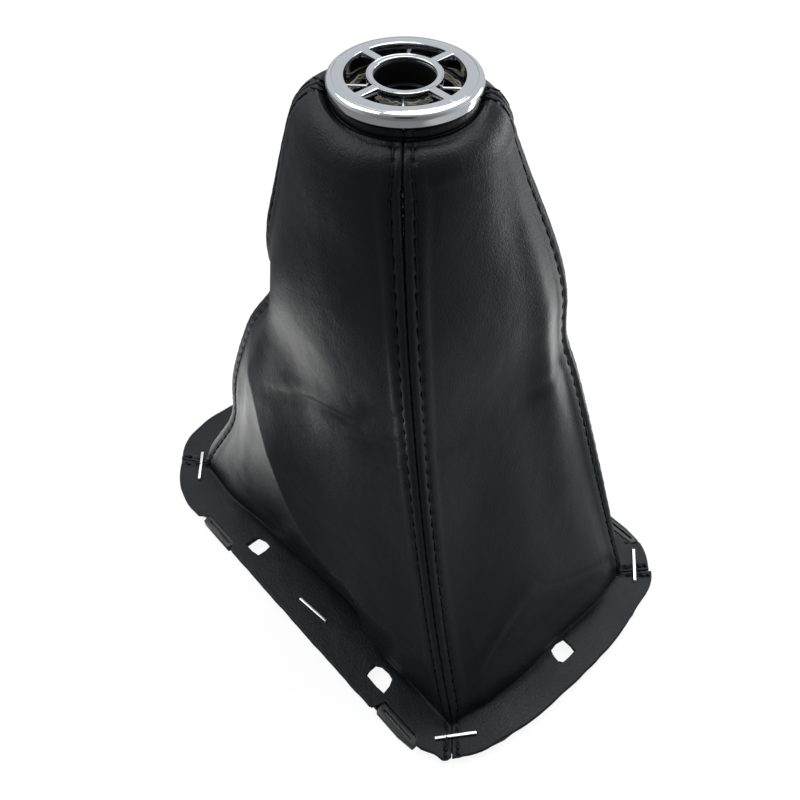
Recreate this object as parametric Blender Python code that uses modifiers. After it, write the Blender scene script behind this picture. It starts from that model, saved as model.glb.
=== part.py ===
"""Gear lever gaiter: a sewn leather boot on a plastic base frame, with a plated collar on its neck.

Lengths are in metres and angles in degrees. +Z is up, +X is the front of the car, and the base
frame lies on z = 0 with its middle at the origin.
"""

import math

import bmesh
import bpy
from mathutils import Matrix, Vector

# Driving dimensions.
TOTAL_HEIGHT = 0.1705
BASE_LENGTH = 0.1640
BASE_WIDTH = 0.1104
BASE_CORNER = 0.0300
LEATHER = 0.0011
CLEARANCE = 0.0003

# Base frame, a flat plate with an opening for the lever. The leather is trimmed a little outside it.
FRAME_THICKNESS = 0.0018
FRAME_BORDER = 0.0125
LEATHER_OVERHANG = 0.0018
END_BOW = 0.0005
END_HOLLOW = 0.0016
END_HOLLOW_PLACE = 0.0310
END_HOLLOW_REACH = 0.0180

# Collar, one plated moulding: a channel shaped ring, a hub, spokes and ribs.
COLLAR_RADIUS = 0.0172
COLLAR_HEIGHT = 0.0031
COLLAR_ROUNDING = 0.0014
COLLAR_LOWER_ROUNDING = 0.0006
FACE_THICKNESS = 0.0016
RING_WALL = 0.0008
INNER_WALL_HEIGHT = 0.0040
WINDOW_RADIUS = 0.0132
HUB_RADIUS = 0.0084
HUB_HEIGHT = 0.0059
LEVER_BORE = 0.00685
BORE_LIP = 0.0008
SPOKE_WIDTH = 0.00195
SPOKE_COUNT = 4
RIB_WIDTH = 0.0009
RIB_DEPTH = 0.0030

# Bore sleeve, pushed into the hub from below.
SLEEVE_LEDGE = 0.0007
SLEEVE_TAIL = 0.0050

# Neck: the leather is turned over a hoop under the collar, and its raw edge hangs inside.
BAND_RADIUS = 0.0166
BAND_HEIGHT = 0.0020
GROOVE_DEPTH = 0.0002
HEM_DEPTH = 0.0084
HEM_FLARE = 0.0003
HEM_CORNER = 0.0013
HEM_SINK = 0.0009
HOOP_WALL = 0.0008
HOOP_HEIGHT = 0.0042

# Shoulder, the rounded top of the boot round the neck.
SHOULDER_CREST = 0.0021
SHOULDER_SINK = 0.0008
SHOULDER_WIDTH = 0.0062
SHOULDER_HEIGHT = 0.0070
# How far each seam props the shoulder up, and how far that reaches along it.
SHOULDER_LIFTS = ((0.0, 0.010), (0.0016, 0.010), (0.0016, 0.014), (0.0026, 0.026))

# Foot, where the boot's wall meets its flange: each corner's inset from the base's end and side.
FOOT_CORNERS = ((0.01521, 0.01491), (0.01445, 0.0162), (0.01514, 0.01503), (0.01673, 0.01473))
FOOT_FILLET = 0.0016

# Seams, in order round the boot, with their angles on the neck.
SEAMS = ("front_right", "front_left", "rear_left", "rear_right")
NECK_ANGLES = (-43.2, 46.0, 137.0, 224.5)
SEAM_ALLOWANCE = 0.0050
SEAM_DIP = 0.0004
SEAM_ROLL = 0.0008

# The seams' line: the share of the way out, for the share of the way down.
SEAM_LINE = (
    (0.0, 0.0),
    (0.09, 0.11),
    (0.21, 0.27),
    (0.30, 0.348),
    (0.40, 0.388),
    (0.49, 0.487),
    (0.70, 0.70),
    (0.89, 0.895),
    (0.955, 0.97),
    (1.0, 1.0),
)
# How round a section is, from a circle at the neck to straight sides at the foot.
ROUNDNESS = ((0.0, 1.0), (0.1, 0.6), (0.2, 0.4), (0.35, 0.2), (0.6, 0.08), (1.0, 0.0))

# Where one seam hangs slack: its share of the way down, how deep it sinks in and how far that reaches.
SLACK_SEAM = "rear_right"
SLACKS = ((0.0, -0.0022, 0.022), (0.31, 0.0075, 0.016), (0.79, 0.0042, 0.016))
SLACK_FALL = 0.2

# Leather panels: each lies between two seams.
PANELS = (
    ("right_panel", "rear_right", "front_right"),
    ("front_panel", "front_right", "front_left"),
    ("left_panel", "front_left", "rear_left"),
    ("rear_panel", "rear_left", "rear_right"),
)
COLUMNS = 15
CROWDING = 0.6
TURNED_COLUMN = 2
WALL_ROWS = 15
FLANGE_ROWS = 1

# How far each panel's foot bows outward, for the share of the way across it.
FOOT_BOWS = {
    "right_panel": (
        (0.0, 0.0),
        (0.13, 0.0015),
        (0.30, -0.0004),
        (0.49, -0.0024),
        (0.65, -0.0037),
        (0.76, 0.0004),
        (1.0, 0.0),
    ),
    "front_panel": ((0.0, 0.0), (0.2, 0.0027), (0.4, 0.0034), (0.6, 0.0024), (0.8, 0.0022), (1.0, 0.0)),
    "left_panel": ((0.0, 0.0), (0.3, 0.0012), (0.6, -0.0018), (1.0, 0.0)),
    "rear_panel": ((0.0, 0.0), (0.5, 0.0020), (1.0, 0.0)),
}
FOOT_BOW_REACH = 0.30

# Ridges, where a panel breaks into a flat facet that runs down to its foot: share across, share down
# and how far the ridge stands out.
RIDGES = {
    "right_panel": (
        (0.0, 0.42, 0.0),
        (0.165, 0.53, 0.0015),
        (0.34, 0.66, 0.0036),
        (0.50, 0.785, 0.0052),
        (0.62, 0.83, 0.0052),
        (0.80, 0.84, 0.0042),
        (0.93, 0.86, 0.0020),
        (1.0, 0.92, 0.0),
    ),
    "front_panel": (
        (0.0, 0.97, 0.0),
        (0.12, 0.90, 0.0022),
        (0.30, 0.82, 0.0044),
        (0.45, 0.795, 0.0055),
        (0.65, 0.835, 0.0052),
        (0.85, 0.885, 0.0036),
        (1.0, 0.95, 0.0),
    ),
    "left_panel": (
        (0.0, 0.97, 0.0),
        (0.30, 0.90, 0.0035),
        (0.60, 0.78, 0.0045),
        (1.0, 0.55, 0.0),
    ),
}
RIDGE_FADE = 0.30

# Swells and tucks: share across, share down, reach across, reach down and how far it stands out.
SWELLS = {
    "right_panel": ((0.60, 0.38, 0.40, 0.20, 0.0012),),
    "front_panel": ((0.80, 0.42, 0.24, 0.12, 0.0012), (0.30, 0.55, 0.30, 0.20, -0.0010)),
    "left_panel": ((0.40, 0.40, 0.34, 0.22, 0.0016),),
    "rear_panel": ((0.45, 0.70, 0.40, 0.20, 0.0024), (0.55, 0.33, 0.36, 0.12, -0.0018)),
}

# Clip holes and slotted lugs along the long sides, and one hole in each short side.
PATTERN_SHIFT = 0.0091
HOLE_SIZE = 0.0056
FRAME_HOLE_MARGIN = 0.0010
HOLE_SPREAD = 0.0322
HOLE_INSET = 0.0085
END_HOLE_INSET = 0.0092
END_HOLE_SHIFT = 0.0029
LUG_SPREAD = 0.0463
LUG_LENGTH = 0.0160
LUG_RIM = 0.0009
LUG_REACH = 0.0003
LUG_BLANK = 0.0140
LUG_SLOT_LENGTH = 0.0120
LUG_SLOT_WIDTH = 0.0013
REAR_SLOT_INSET = 0.0017
FRONT_SLOT_INSET = 0.0030

# Staples, bent from flat wire.
CROWN_LENGTH = 0.0128
WIRE_WIDTH = 0.00095
WIRE_THICKNESS = 0.00065
STAPLE_BEND = 0.0006
SIDE_STAPLE_INSET = 0.0073
SIDE_STAPLE_SKEW = 6.0
# For each corner: its inset from the edge, its place off the diagonal and its skew.
CORNER_STAPLES = ((0.0059, 2.2, 11.0), (0.0048, 3.2, -4.7), (0.0066, -3.0, 3.0), (0.0082, 7.9, 5.9))

# Steps round turned pieces and round the corners of flat ones.
TURN_STEPS = 40
SLEEVE_STEPS = 20
CORNER_STEPS = 8

# Places that follow from the sizes.
FLANGE_BOTTOM = FRAME_THICKNESS + CLEARANCE
FLANGE_TOP = FLANGE_BOTTOM + LEATHER
BAND_TOP = TOTAL_HEIGHT - COLLAR_HEIGHT - CLEARANCE
GROOVE_HEIGHT = BAND_TOP - BAND_HEIGHT
GROOVE_RADIUS = BAND_RADIUS - GROOVE_DEPTH
HOOP_RADIUS = GROOVE_RADIUS - LEATHER - CLEARANCE
HEM_RADIUS = HOOP_RADIUS - HOOP_WALL - CLEARANCE - LEATHER
CREST_RADIUS = GROOVE_RADIUS + SHOULDER_CREST
WALL_RADIUS = CREST_RADIUS + SHOULDER_WIDTH
WALL_TOP = GROOVE_HEIGHT - SHOULDER_SINK - SHOULDER_HEIGHT
LUG_TOP = FLANGE_TOP - CLEARANCE


def clear_scene():
    for thing in list(bpy.data.objects):
        bpy.data.objects.remove(thing, do_unlink=True)


def make_collection(name):
    collection = bpy.data.collections.new(name)
    bpy.context.scene.collection.children.link(collection)
    return collection


def make_material(name, colour, roughness, metallic=0.0):
    material = bpy.data.materials.new(name)
    material.use_nodes = True
    shader = material.node_tree.nodes["Principled BSDF"]
    shader.inputs["Base Color"].default_value = (*colour, 1.0)
    shader.inputs["Roughness"].default_value = roughness
    shader.inputs["Metallic"].default_value = metallic
    return material


def mix(start, end, share):
    return start + (end - start) * share


def bump(distance, reach):
    """A smooth hill, 1 at its middle and nearly 0 at its reach."""
    return math.exp(-4.0 * (distance / reach) ** 2)


def along(knots, place):
    """The height of a smooth line through the knots, at a place along it."""
    last = len(knots) - 1
    place = min(max(place, knots[0][0]), knots[last][0])
    i = next(k for k in range(last) if place <= knots[k + 1][0])

    def slope(k):
        before = knots[max(k - 1, 0)]
        after = knots[min(k + 1, last)]
        return (after[1] - before[1]) / (after[0] - before[0])

    span = knots[i + 1][0] - knots[i][0]
    t = (place - knots[i][0]) / span
    return (
        (2 * t**3 - 3 * t**2 + 1) * knots[i][1]
        + (t**3 - 2 * t**2 + t) * slope(i) * span
        + (3 * t**2 - 2 * t**3) * knots[i + 1][1]
        + (t**3 - t**2) * slope(i + 1) * span
    )


def polar(angle, radius, height=0.0):
    return Vector((radius * math.cos(angle), radius * math.sin(angle), height))


# Base outline, a rectangle with round corners.
def inside_corner(seam, end_inset, side_inset):
    """A point beside a corner of the base, this far in from its end and its side."""
    side_x = (1, 1, -1, -1)[seam]
    side_y = (-1, 1, 1, -1)[seam]
    return Vector((side_x * (BASE_LENGTH / 2 - end_inset), side_y * (BASE_WIDTH / 2 - side_inset), 0))


def corner_centre(seam):
    """The middle of the corner arc at a seam's foot."""
    return inside_corner(seam, BASE_CORNER, BASE_CORNER)


def diagonal(seam):
    """The direction in which a corner points, counted on from the first corner."""
    return math.radians(-45 + 90 * seam)


def outline_length(start):
    """How long the outline is between the middles of two corners."""
    end = (start + 1) % len(SEAMS)
    return BASE_CORNER * math.pi / 2 + (corner_centre(end) - corner_centre(start)).length


def outline_point(start, share):
    """A point of the leather's outline between the middles of two corners."""
    a = corner_centre(start)
    b = corner_centre((start + 1) % len(SEAMS))
    arc = BASE_CORNER * math.pi / 4
    length = outline_length(start)
    gone = share * length
    if gone < arc:
        point = a + polar(diagonal(start) + gone / BASE_CORNER, BASE_CORNER)
    elif gone < length - arc:
        side = polar(diagonal(start) + math.pi / 4, BASE_CORNER)
        point = a.lerp(b, (gone - arc) / (length - 2 * arc)) + side
    else:
        point = b + polar(diagonal(start) + math.pi / 2 - (length - gone) / BASE_CORNER, BASE_CORNER)
    return trimmed(point)


def trimmed(point):
    """The short ends are cut by hand: fuller in the middle and hollow beside the corners."""
    full = END_BOW * bump(point.y, BASE_WIDTH / 2)
    hollow = END_HOLLOW * bump(abs(point.y) - END_HOLLOW_PLACE, END_HOLLOW_REACH)
    if abs(point.x) < BASE_LENGTH / 2 - BASE_CORNER:
        return point
    return point + Vector((math.copysign(1.0, point.x) * (full - hollow), 0, 0))


def outline_loop(inset):
    """The whole outline as a list of points, its corners in equal steps."""
    points = []
    for seam in range(len(SEAMS)):
        for step in range(CORNER_STEPS + 1):
            angle = diagonal(seam) + math.radians(90) * (step / CORNER_STEPS - 0.5)
            points.append(corner_centre(seam) + polar(angle, BASE_CORNER - inset))
    return points


# Boot: seams and panel sections.
def seam_point(seam, drop):
    """A point of a seam, from the shoulder (0) down to the foot (1)."""
    foot = inside_corner(seam, *FOOT_CORNERS[seam])
    foot_angle = math.atan2(foot.y, foot.x)
    if foot_angle < diagonal(seam) - math.pi:
        foot_angle += 2 * math.pi
    angle = mix(math.radians(NECK_ANGLES[seam]), foot_angle, drop)
    radius = mix(WALL_RADIUS, foot.length, along(SEAM_LINE, drop))
    return polar(angle, radius, mix(WALL_TOP, FLANGE_TOP, drop))


def column_shares(width):
    """Where the columns stand across a panel: close together at the seams, wider apart between."""
    edge = [0.0, SEAM_ROLL, SEAM_ALLOWANCE, SEAM_ALLOWANCE * 1.25]
    middle = COLUMNS - 2 * len(edge)
    places = list(edge)
    for k in range(middle):
        even = (k + 1) / (middle + 1)
        crowded = 0.5 - 0.5 * math.cos(math.pi * even)
        places.append(mix(edge[-1], width - edge[-1], mix(even, crowded, CROWDING)))
    places += [width - place for place in reversed(edge)]
    return [place / width for place in places]


def neck_path():
    """The neck's outer skin as (radius, height), from the raw edge inside over the hoop to the groove."""
    path = [(HEM_RADIUS - HEM_FLARE, TOTAL_HEIGHT - HEM_DEPTH)]
    for turn in (180, 135, 90):
        angle = math.radians(turn)
        path.append(
            (
                HEM_RADIUS + HEM_CORNER * (1 + math.cos(angle)),
                BAND_TOP - HEM_SINK - HEM_CORNER * (1 - math.sin(angle)),
            )
        )
    for turn in (90, 45, 0):
        angle = math.radians(turn)
        path.append(
            (
                BAND_RADIUS - HEM_CORNER * (1 - math.cos(angle)),
                BAND_TOP - HEM_CORNER * (1 - math.sin(angle)),
            )
        )
    path.append((GROOVE_RADIUS, GROOVE_HEIGHT))
    for turn in (92, 72, 50, 26):
        angle = math.radians(turn)
        path.append(
            (
                CREST_RADIUS + SHOULDER_WIDTH * math.cos(angle),
                WALL_TOP + SHOULDER_HEIGHT * math.sin(angle),
            )
        )
    return path


def neck_row(start, end, radius, height):
    first = math.radians(NECK_ANGLES[start])
    last = math.radians(NECK_ANGLES[end])
    if last < first:
        last += 2 * math.pi
    shares = column_shares(radius * (last - first))
    return [polar(mix(first, last, share), radius, height) for share in shares]


def lifted(start, end, row, weight):
    """A shoulder row, propped up beside its two seams."""
    moved = []
    for point in row:
        lift = 0.0
        for seam, foot in ((start, row[0]), (end, row[-1])):
            height, reach = SHOULDER_LIFTS[seam]
            lift = max(lift, height * bump((point - foot).length, reach))
        moved.append(point + Vector((0, 0, lift * weight)))
    return moved


def wall_row(start, end, drop):
    """One row of a panel's outer skin, at a share of the way down the wall."""
    a = seam_point(start, drop)
    b = seam_point(end, drop)
    first = math.atan2(a.y, a.x)
    last = math.atan2(b.y, b.x)
    if last < first:
        last += 2 * math.pi
    row = []
    for share in column_shares((b - a).length):
        ring = polar(mix(first, last, share), mix(a.xy.length, b.xy.length, share), a.z)
        row.append(a.lerp(b, share).lerp(ring, along(ROUNDNESS, drop)))
    return row


def relief(name, share, drop):
    """How far a panel stands out of its plain shape, at a share of the way across and down it."""
    depth = along(FOOT_BOWS[name], share) * bump(1.0 - drop, FOOT_BOW_REACH)
    if name in RIDGES:
        line = along([(across, down) for across, down, _ in RIDGES[name]], share)
        height = along([(across, out) for across, _, out in RIDGES[name]], share)
        if drop > line:
            depth += height * (1.0 - drop) / (1.0 - line)
        else:
            depth += height * max(1.0 - (line - drop) / RIDGE_FADE, 0.0) ** 2
    for across, down, reach, fall, out in SWELLS[name]:
        depth += out * bump(share - across, reach) * bump(drop - down, fall)
    return depth * min(1.0, 8.0 * share * (1.0 - share))


def shaped(name, row, drop):
    """A wall row with the panel's relief."""
    across = row[-1] - row[0]
    outward = Vector((across.y, -across.x, 0)).normalized()
    shares = column_shares(across.length)
    return [point + outward * relief(name, share, drop) for point, share in zip(row, shares)]


def slack_in(start, end, row, drop, weight=1.0):
    """Draws a row in towards the slack seam."""
    slack_seam = SEAMS.index(SLACK_SEAM)
    if slack_seam not in (start, end):
        return row
    seam = row[0] if start == slack_seam else row[-1]
    inward = -Vector((seam.x, seam.y, 0)).normalized() * weight
    moved = []
    for point in row:
        away = (point - seam).length
        pull = 0.0
        for place, depth, reach in SLACKS:
            pull += depth * bump(drop - place, SLACK_FALL) * bump(away, reach)
        moved.append(point + inward * pull)
    return moved


def flange_row(start, foot_row, share):
    """One row of the flange, from the boot's foot (0) out to the trimmed edge (1)."""
    row = []
    for foot, place in zip(foot_row, column_shares(outline_length(start))):
        point = foot.lerp(outline_point(start, place), share)
        row.append(Vector((point.x, point.y, FLANGE_TOP)))
    return row


def panel_rows(name, start, end):
    """The outer skin of a panel, with the number of rows in its neck and its wall."""
    rows = []
    for radius, height in neck_path():
        row = neck_row(start, end, radius, height)
        out = (radius - GROOVE_RADIUS) / (WALL_RADIUS - GROOVE_RADIUS)
        if height < GROOVE_HEIGHT and out > 0:
            row = slack_in(start, end, lifted(start, end, row, (height - WALL_TOP) / SHOULDER_HEIGHT), 0.0, out)
        rows.append(row)
    neck = len(rows)
    for step in range(WALL_ROWS):
        drop = step / WALL_ROWS
        rows.append(slack_in(start, end, shaped(name, wall_row(start, end, drop), drop), drop))
    foot = shaped(name, wall_row(start, end, 1.0), 1.0)
    wall = len(rows)
    reach = (outline_point(start, 0.5) - foot[COLUMNS // 2]).length
    rows.append(flange_row(start, foot, FOOT_FILLET / reach))
    for step in range(FLANGE_ROWS):
        rows.append(flange_row(start, foot, mix(FOOT_FILLET / reach, 1.0, (step + 1) / FLANGE_ROWS)))
    return rows, neck, wall


def normals_of(rows):
    """The outward direction at every point of a skin, from its neighbours."""
    last_row = len(rows) - 1
    last_column = len(rows[0]) - 1
    table = []
    for r in range(len(rows)):
        line = []
        for c in range(len(rows[0])):
            across = rows[r][min(c + 1, last_column)] - rows[r][max(c - 1, 0)]
            down = rows[min(r + 1, last_row)][c] - rows[max(r - 1, 0)][c]
            line.append(down.cross(across).normalized())
        table.append(line)
    return table


def panel_sections(skins, index):
    """A panel's closed sections: its outer skin, and its inner skin a leather's thickness in."""
    rows, neck, wall = skins[index]
    normals = normals_of(rows)
    before = normals_of(skins[index - 1][0])
    after = normals_of(skins[(index + 1) % len(skins)][0])
    last = COLUMNS - 1
    sections = []
    for r, row in enumerate(rows):
        sewn = neck <= r < wall
        outer = []
        inner = []
        for c, point in enumerate(row):
            normal = normals[r][c]
            thickness = LEATHER
            if sewn and min(c, last - c) <= TURNED_COLUMN:
                thickness = 2 * LEATHER
            if r >= wall:
                normal = Vector((0, 0, 1))
            aside = Vector((0, 0, 0))
            if c in (0, last):
                other = before[r][last] if c == 0 else after[r][0]
                if r >= wall:
                    other = normal
                down = rows[min(r + 1, len(rows) - 1)][c] - rows[max(r - 1, 0)][c]
                crease = (normal + other).normalized()
                aside = crease.cross(down).normalized() * (CLEARANCE / 2)
                if aside.dot(row[1 if c == 0 else last - 1] - point) < 0:
                    aside = -aside
                thickness = thickness / max(crease.dot(normal), 0.5)
                normal = crease
                if sewn:
                    point = point - normal * SEAM_DIP
                    thickness = thickness - SEAM_DIP
            outer.append(point + aside)
            inner.append(point + aside - normal * thickness)
        for k in range(1, TURNED_COLUMN):
            share = k / TURNED_COLUMN
            inner[k] = inner[0].lerp(inner[TURNED_COLUMN], share)
            inner[last - k] = inner[last].lerp(inner[last - TURNED_COLUMN], share)
        sections.append(outer + inner[::-1])
    return sections


def loft(name, sections):
    """A closed body through sections that all have the same number of points."""
    mesh = bpy.data.meshes.new(name)
    body = bmesh.new()
    loops = [[body.verts.new(point) for point in section] for section in sections]
    count = len(sections[0])
    for upper, lower in zip(loops, loops[1:]):
        for k in range(count):
            following = (k + 1) % count
            body.faces.new((upper[k], lower[k], lower[following], upper[following]))
    for loop in (loops[0], loops[-1]):
        for k in range(count // 2 - 1):
            body.faces.new((loop[k], loop[k + 1], loop[count - 2 - k], loop[count - 1 - k]))
    bmesh.ops.recalc_face_normals(body, faces=body.faces)
    body.to_mesh(mesh)
    body.free()
    return mesh


def add_object(name, mesh, collection, material=None):
    thing = bpy.data.objects.new(name, mesh)
    collection.objects.link(thing)
    if material:
        mesh.materials.append(material)
    return thing


def smooth(thing, angle=40.0):
    thing.data.shade_smooth()
    thing.data.set_sharp_from_angle(angle=math.radians(angle))


def turned(name, profile, collection, material=None, steps=TURN_STEPS):
    """A turned body from a closed profile of (radius, height), its outer side from top to bottom."""
    mesh = bpy.data.meshes.new(name)
    line = bmesh.new()
    points = [line.verts.new((radius, 0, height)) for radius, height in profile]
    for k, point in enumerate(points):
        line.edges.new((point, points[(k + 1) % len(points)]))
    line.to_mesh(mesh)
    line.free()
    thing = add_object(name, mesh, collection, material)
    screw = thing.modifiers.new("turn", "SCREW")
    screw.axis = "Z"
    screw.steps = steps
    screw.render_steps = steps
    screw.use_merge_vertices = True
    screw.merge_threshold = 0.00001
    screw.use_smooth_shade = True
    return thing


def block(name, size, centre, turn, collection):
    """A box of a size, turned about the vertical through its centre."""
    mesh = bpy.data.meshes.new(name)
    box = bmesh.new()
    bmesh.ops.create_cube(box, size=1.0)
    bmesh.ops.scale(box, vec=Vector(size), verts=box.verts)
    box.to_mesh(mesh)
    box.free()
    thing = add_object(name, mesh, collection)
    thing.location = centre
    thing.rotation_euler = (0, 0, turn)
    return thing


def as_cutter(thing):
    thing.hide_render = True
    thing.display_type = "WIRE"
    return thing


def combine(thing, other, operation):
    modifier = thing.modifiers.new(other.name, "BOOLEAN")
    modifier.operation = operation
    modifier.solver = "EXACT"
    modifier.object = other


def flat_plate(name, loops, thickness, collection, material):
    """A flat plate from closed outlines, the later ones holes in the first, standing on z = 0."""
    curve = bpy.data.curves.new(name, "CURVE")
    curve.dimensions = "2D"
    curve.fill_mode = "BOTH"
    curve.extrude = thickness / 2
    for loop in loops:
        spline = curve.splines.new("POLY")
        spline.points.add(len(loop) - 1)
        spline.use_cyclic_u = True
        for point, place in zip(spline.points, loop):
            point.co = (place[0], place[1], 0, 1)
    drawn = bpy.data.objects.new(name, curve)
    collection.objects.link(drawn)
    bpy.context.view_layer.update()
    mesh = bpy.data.meshes.new_from_object(drawn.evaluated_get(bpy.context.evaluated_depsgraph_get()))
    bpy.data.objects.remove(drawn, do_unlink=True)
    solid = bmesh.new()
    solid.from_mesh(mesh)
    bmesh.ops.remove_doubles(solid, verts=solid.verts, dist=0.00001)
    bmesh.ops.translate(solid, vec=Vector((0, 0, thickness / 2)), verts=solid.verts)
    bmesh.ops.recalc_face_normals(solid, faces=solid.faces)
    solid.to_mesh(mesh)
    solid.free()
    mesh.materials.clear()
    return add_object(name, mesh, collection, material)


# Collar.
def ring_profile():
    """The ring's section: a flat face, a rounded shoulder, and a wall each side of a channel."""
    low = TOTAL_HEIGHT - COLLAR_HEIGHT
    roof = TOTAL_HEIGHT - FACE_THICKNESS
    profile = [(WINDOW_RADIUS, TOTAL_HEIGHT)]
    for turn in (90, 67.5, 45, 22.5, 0):
        angle = math.radians(turn)
        profile.append(
            (
                COLLAR_RADIUS - COLLAR_ROUNDING * (1 - math.cos(angle)),
                TOTAL_HEIGHT - COLLAR_ROUNDING * (1 - math.sin(angle)),
            )
        )
    for turn in (0, 45, 90):
        angle = math.radians(turn)
        profile.append(
            (
                COLLAR_RADIUS - COLLAR_LOWER_ROUNDING * (1 - math.cos(angle)),
                low + COLLAR_LOWER_ROUNDING * (1 - math.sin(angle)),
            )
        )
    outer_wall = COLLAR_RADIUS - COLLAR_LOWER_ROUNDING - RING_WALL
    profile += [
        (outer_wall, low),
        (outer_wall, roof),
        (WINDOW_RADIUS + RING_WALL, roof),
        (WINDOW_RADIUS + RING_WALL, TOTAL_HEIGHT - INNER_WALL_HEIGHT),
        (WINDOW_RADIUS, TOTAL_HEIGHT - INNER_WALL_HEIGHT),
    ]
    return profile


def make_collar(parts, cutters, material):
    collar = turned("collar", ring_profile(), parts, material)
    reach = 2 * WINDOW_RADIUS + RING_WALL
    hub = add_object("hub_blank", bpy.data.meshes.new("hub_blank"), cutters)
    shape = bmesh.new()
    bmesh.ops.create_cone(
        shape,
        cap_ends=True,
        segments=TURN_STEPS,
        radius1=HUB_RADIUS,
        radius2=HUB_RADIUS,
        depth=HUB_HEIGHT,
    )
    shape.to_mesh(hub.data)
    shape.free()
    hub.location = (0, 0, TOTAL_HEIGHT - HUB_HEIGHT / 2)
    bars = [as_cutter(hub)]
    rib_height = INNER_WALL_HEIGHT - RIB_DEPTH
    for k in range(SPOKE_COUNT // 2):
        turn = math.radians(180 / (SPOKE_COUNT // 2) * k)
        half_step = math.radians(90 / (SPOKE_COUNT // 2))
        spoke = block(
            f"spoke_bar_{k + 1}",
            (reach, SPOKE_WIDTH, FACE_THICKNESS),
            (0, 0, TOTAL_HEIGHT - FACE_THICKNESS / 2),
            turn,
            cutters,
        )
        rib = block(
            f"rib_bar_{k + 1}",
            (reach, RIB_WIDTH, rib_height),
            (0, 0, TOTAL_HEIGHT - RIB_DEPTH - rib_height / 2),
            turn + half_step,
            cutters,
        )
        bars += [as_cutter(spoke), as_cutter(rib)]
    for bar in bars:
        combine(collar, bar, "UNION")
    sleeve_seat = LEVER_BORE + SLEEVE_LEDGE + CLEARANCE
    bore = turned(
        "bore_cut",
        (
            (LEVER_BORE, TOTAL_HEIGHT + FACE_THICKNESS),
            (LEVER_BORE, TOTAL_HEIGHT - BORE_LIP),
            (sleeve_seat, TOTAL_HEIGHT - BORE_LIP),
            (sleeve_seat, TOTAL_HEIGHT - 2 * HUB_HEIGHT),
            (0.0, TOTAL_HEIGHT - 2 * HUB_HEIGHT),
            (0.0, TOTAL_HEIGHT + FACE_THICKNESS),
        ),
        cutters,
    )
    combine(collar, as_cutter(bore), "DIFFERENCE")
    return collar


def make_sleeve(parts, material):
    """The liner: as wide as the bore down to its ledge, and a shoulder that stops it under the hub."""
    top = TOTAL_HEIGHT - BORE_LIP - CLEARANCE
    stop = TOTAL_HEIGHT - HUB_HEIGHT - CLEARANCE
    low = stop - SLEEVE_TAIL
    outer = LEVER_BORE + SLEEVE_LEDGE
    inner = LEVER_BORE - SLEEVE_LEDGE
    profile = (
        (LEVER_BORE, top),
        (outer, top),
        (outer, stop),
        (HUB_RADIUS, stop),
        (HUB_RADIUS, stop - SLEEVE_LEDGE),
        (outer, stop - SLEEVE_LEDGE),
        (outer, low),
        (inner, low),
        (inner, stop),
        (LEVER_BORE, stop),
    )
    return turned("bore_sleeve", profile, parts, material, SLEEVE_STEPS)


def make_hoop(parts, material):
    top = BAND_TOP - HEM_SINK - LEATHER - CLEARANCE
    inner = HOOP_RADIUS - HOOP_WALL
    profile = (
        (inner, top),
        (HOOP_RADIUS, top),
        (HOOP_RADIUS, top - HOOP_HEIGHT),
        (inner, top - HOOP_HEIGHT),
    )
    return turned("neck_hoop", profile, parts, material)


# Base frame and what is cut through it.
def hole_places():
    places = []
    for side in (-1, 1):
        for end in (-1, 1):
            x = PATTERN_SHIFT + end * HOLE_SPREAD
            places.append(Vector((x, side * (BASE_WIDTH / 2 - HOLE_INSET), 0)))
    for end in (-1, 1):
        places.append(Vector((end * (BASE_LENGTH / 2 - END_HOLE_INSET), END_HOLE_SHIFT, 0)))
    return places


def slot_places():
    """The middle of each lug's slot."""
    places = []
    for side in (-1, 1):
        for end, inset in ((-1, REAR_SLOT_INSET), (1, FRONT_SLOT_INSET)):
            x = PATTERN_SHIFT + end * LUG_SPREAD
            places.append(Vector((x, side * (BASE_WIDTH / 2 - inset), 0)))
    return places


def lug_blocks(piece, margin, height, cutters):
    """A block at each lug, from its rim inside the slot out past the base's edge."""
    blocks = []
    for k, slot in enumerate(slot_places()):
        rim = LUG_SLOT_WIDTH / 2 + LUG_RIM + margin
        middle = slot + Vector((0, math.copysign(LUG_BLANK / 2 - rim, slot.y), height / 2))
        size = (LUG_LENGTH + 2 * margin, LUG_BLANK, height)
        blocks.append(as_cutter(block(f"{piece}_{k + 1}", size, middle, 0, cutters)))
    return blocks


def staple_places():
    """The middle of each staple and its turn: one across each corner seam and one on each long side."""
    places = []
    for seam, (inset, aside, skew) in enumerate(CORNER_STAPLES):
        centre = corner_centre(seam) + polar(diagonal(seam) + math.radians(aside), BASE_CORNER - inset)
        places.append((centre, diagonal(seam) + math.radians(90 + skew)))
    for side in (-1, 1):
        centre = Vector((PATTERN_SHIFT, side * (BASE_WIDTH / 2 - SIDE_STAPLE_INSET), 0))
        places.append((centre, math.radians(SIDE_STAPLE_SKEW)))
    return places


def clip_hole_cutters(piece, size, cutters):
    tools = []
    for k, place in enumerate(hole_places()):
        hole = block(f"{piece}_clip_hole_{k + 1}", (size, size, 4 * FLANGE_TOP), place, 0, cutters)
        tools.append(as_cutter(hole))
    return tools


def leg_hole_cutters(cutters):
    tools = []
    width = WIRE_THICKNESS + 2 * CLEARANCE
    for k, (centre, turn) in enumerate(staple_places()):
        for end in (-1, 1):
            place = centre + polar(turn, end * (CROWN_LENGTH - WIRE_THICKNESS) / 2)
            size = (width, WIRE_WIDTH + 2 * CLEARANCE, 4 * FLANGE_TOP)
            tools.append(as_cutter(block(f"leg_hole_{k + 1}_{end + 2}", size, place, turn, cutters)))
    return tools


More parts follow.
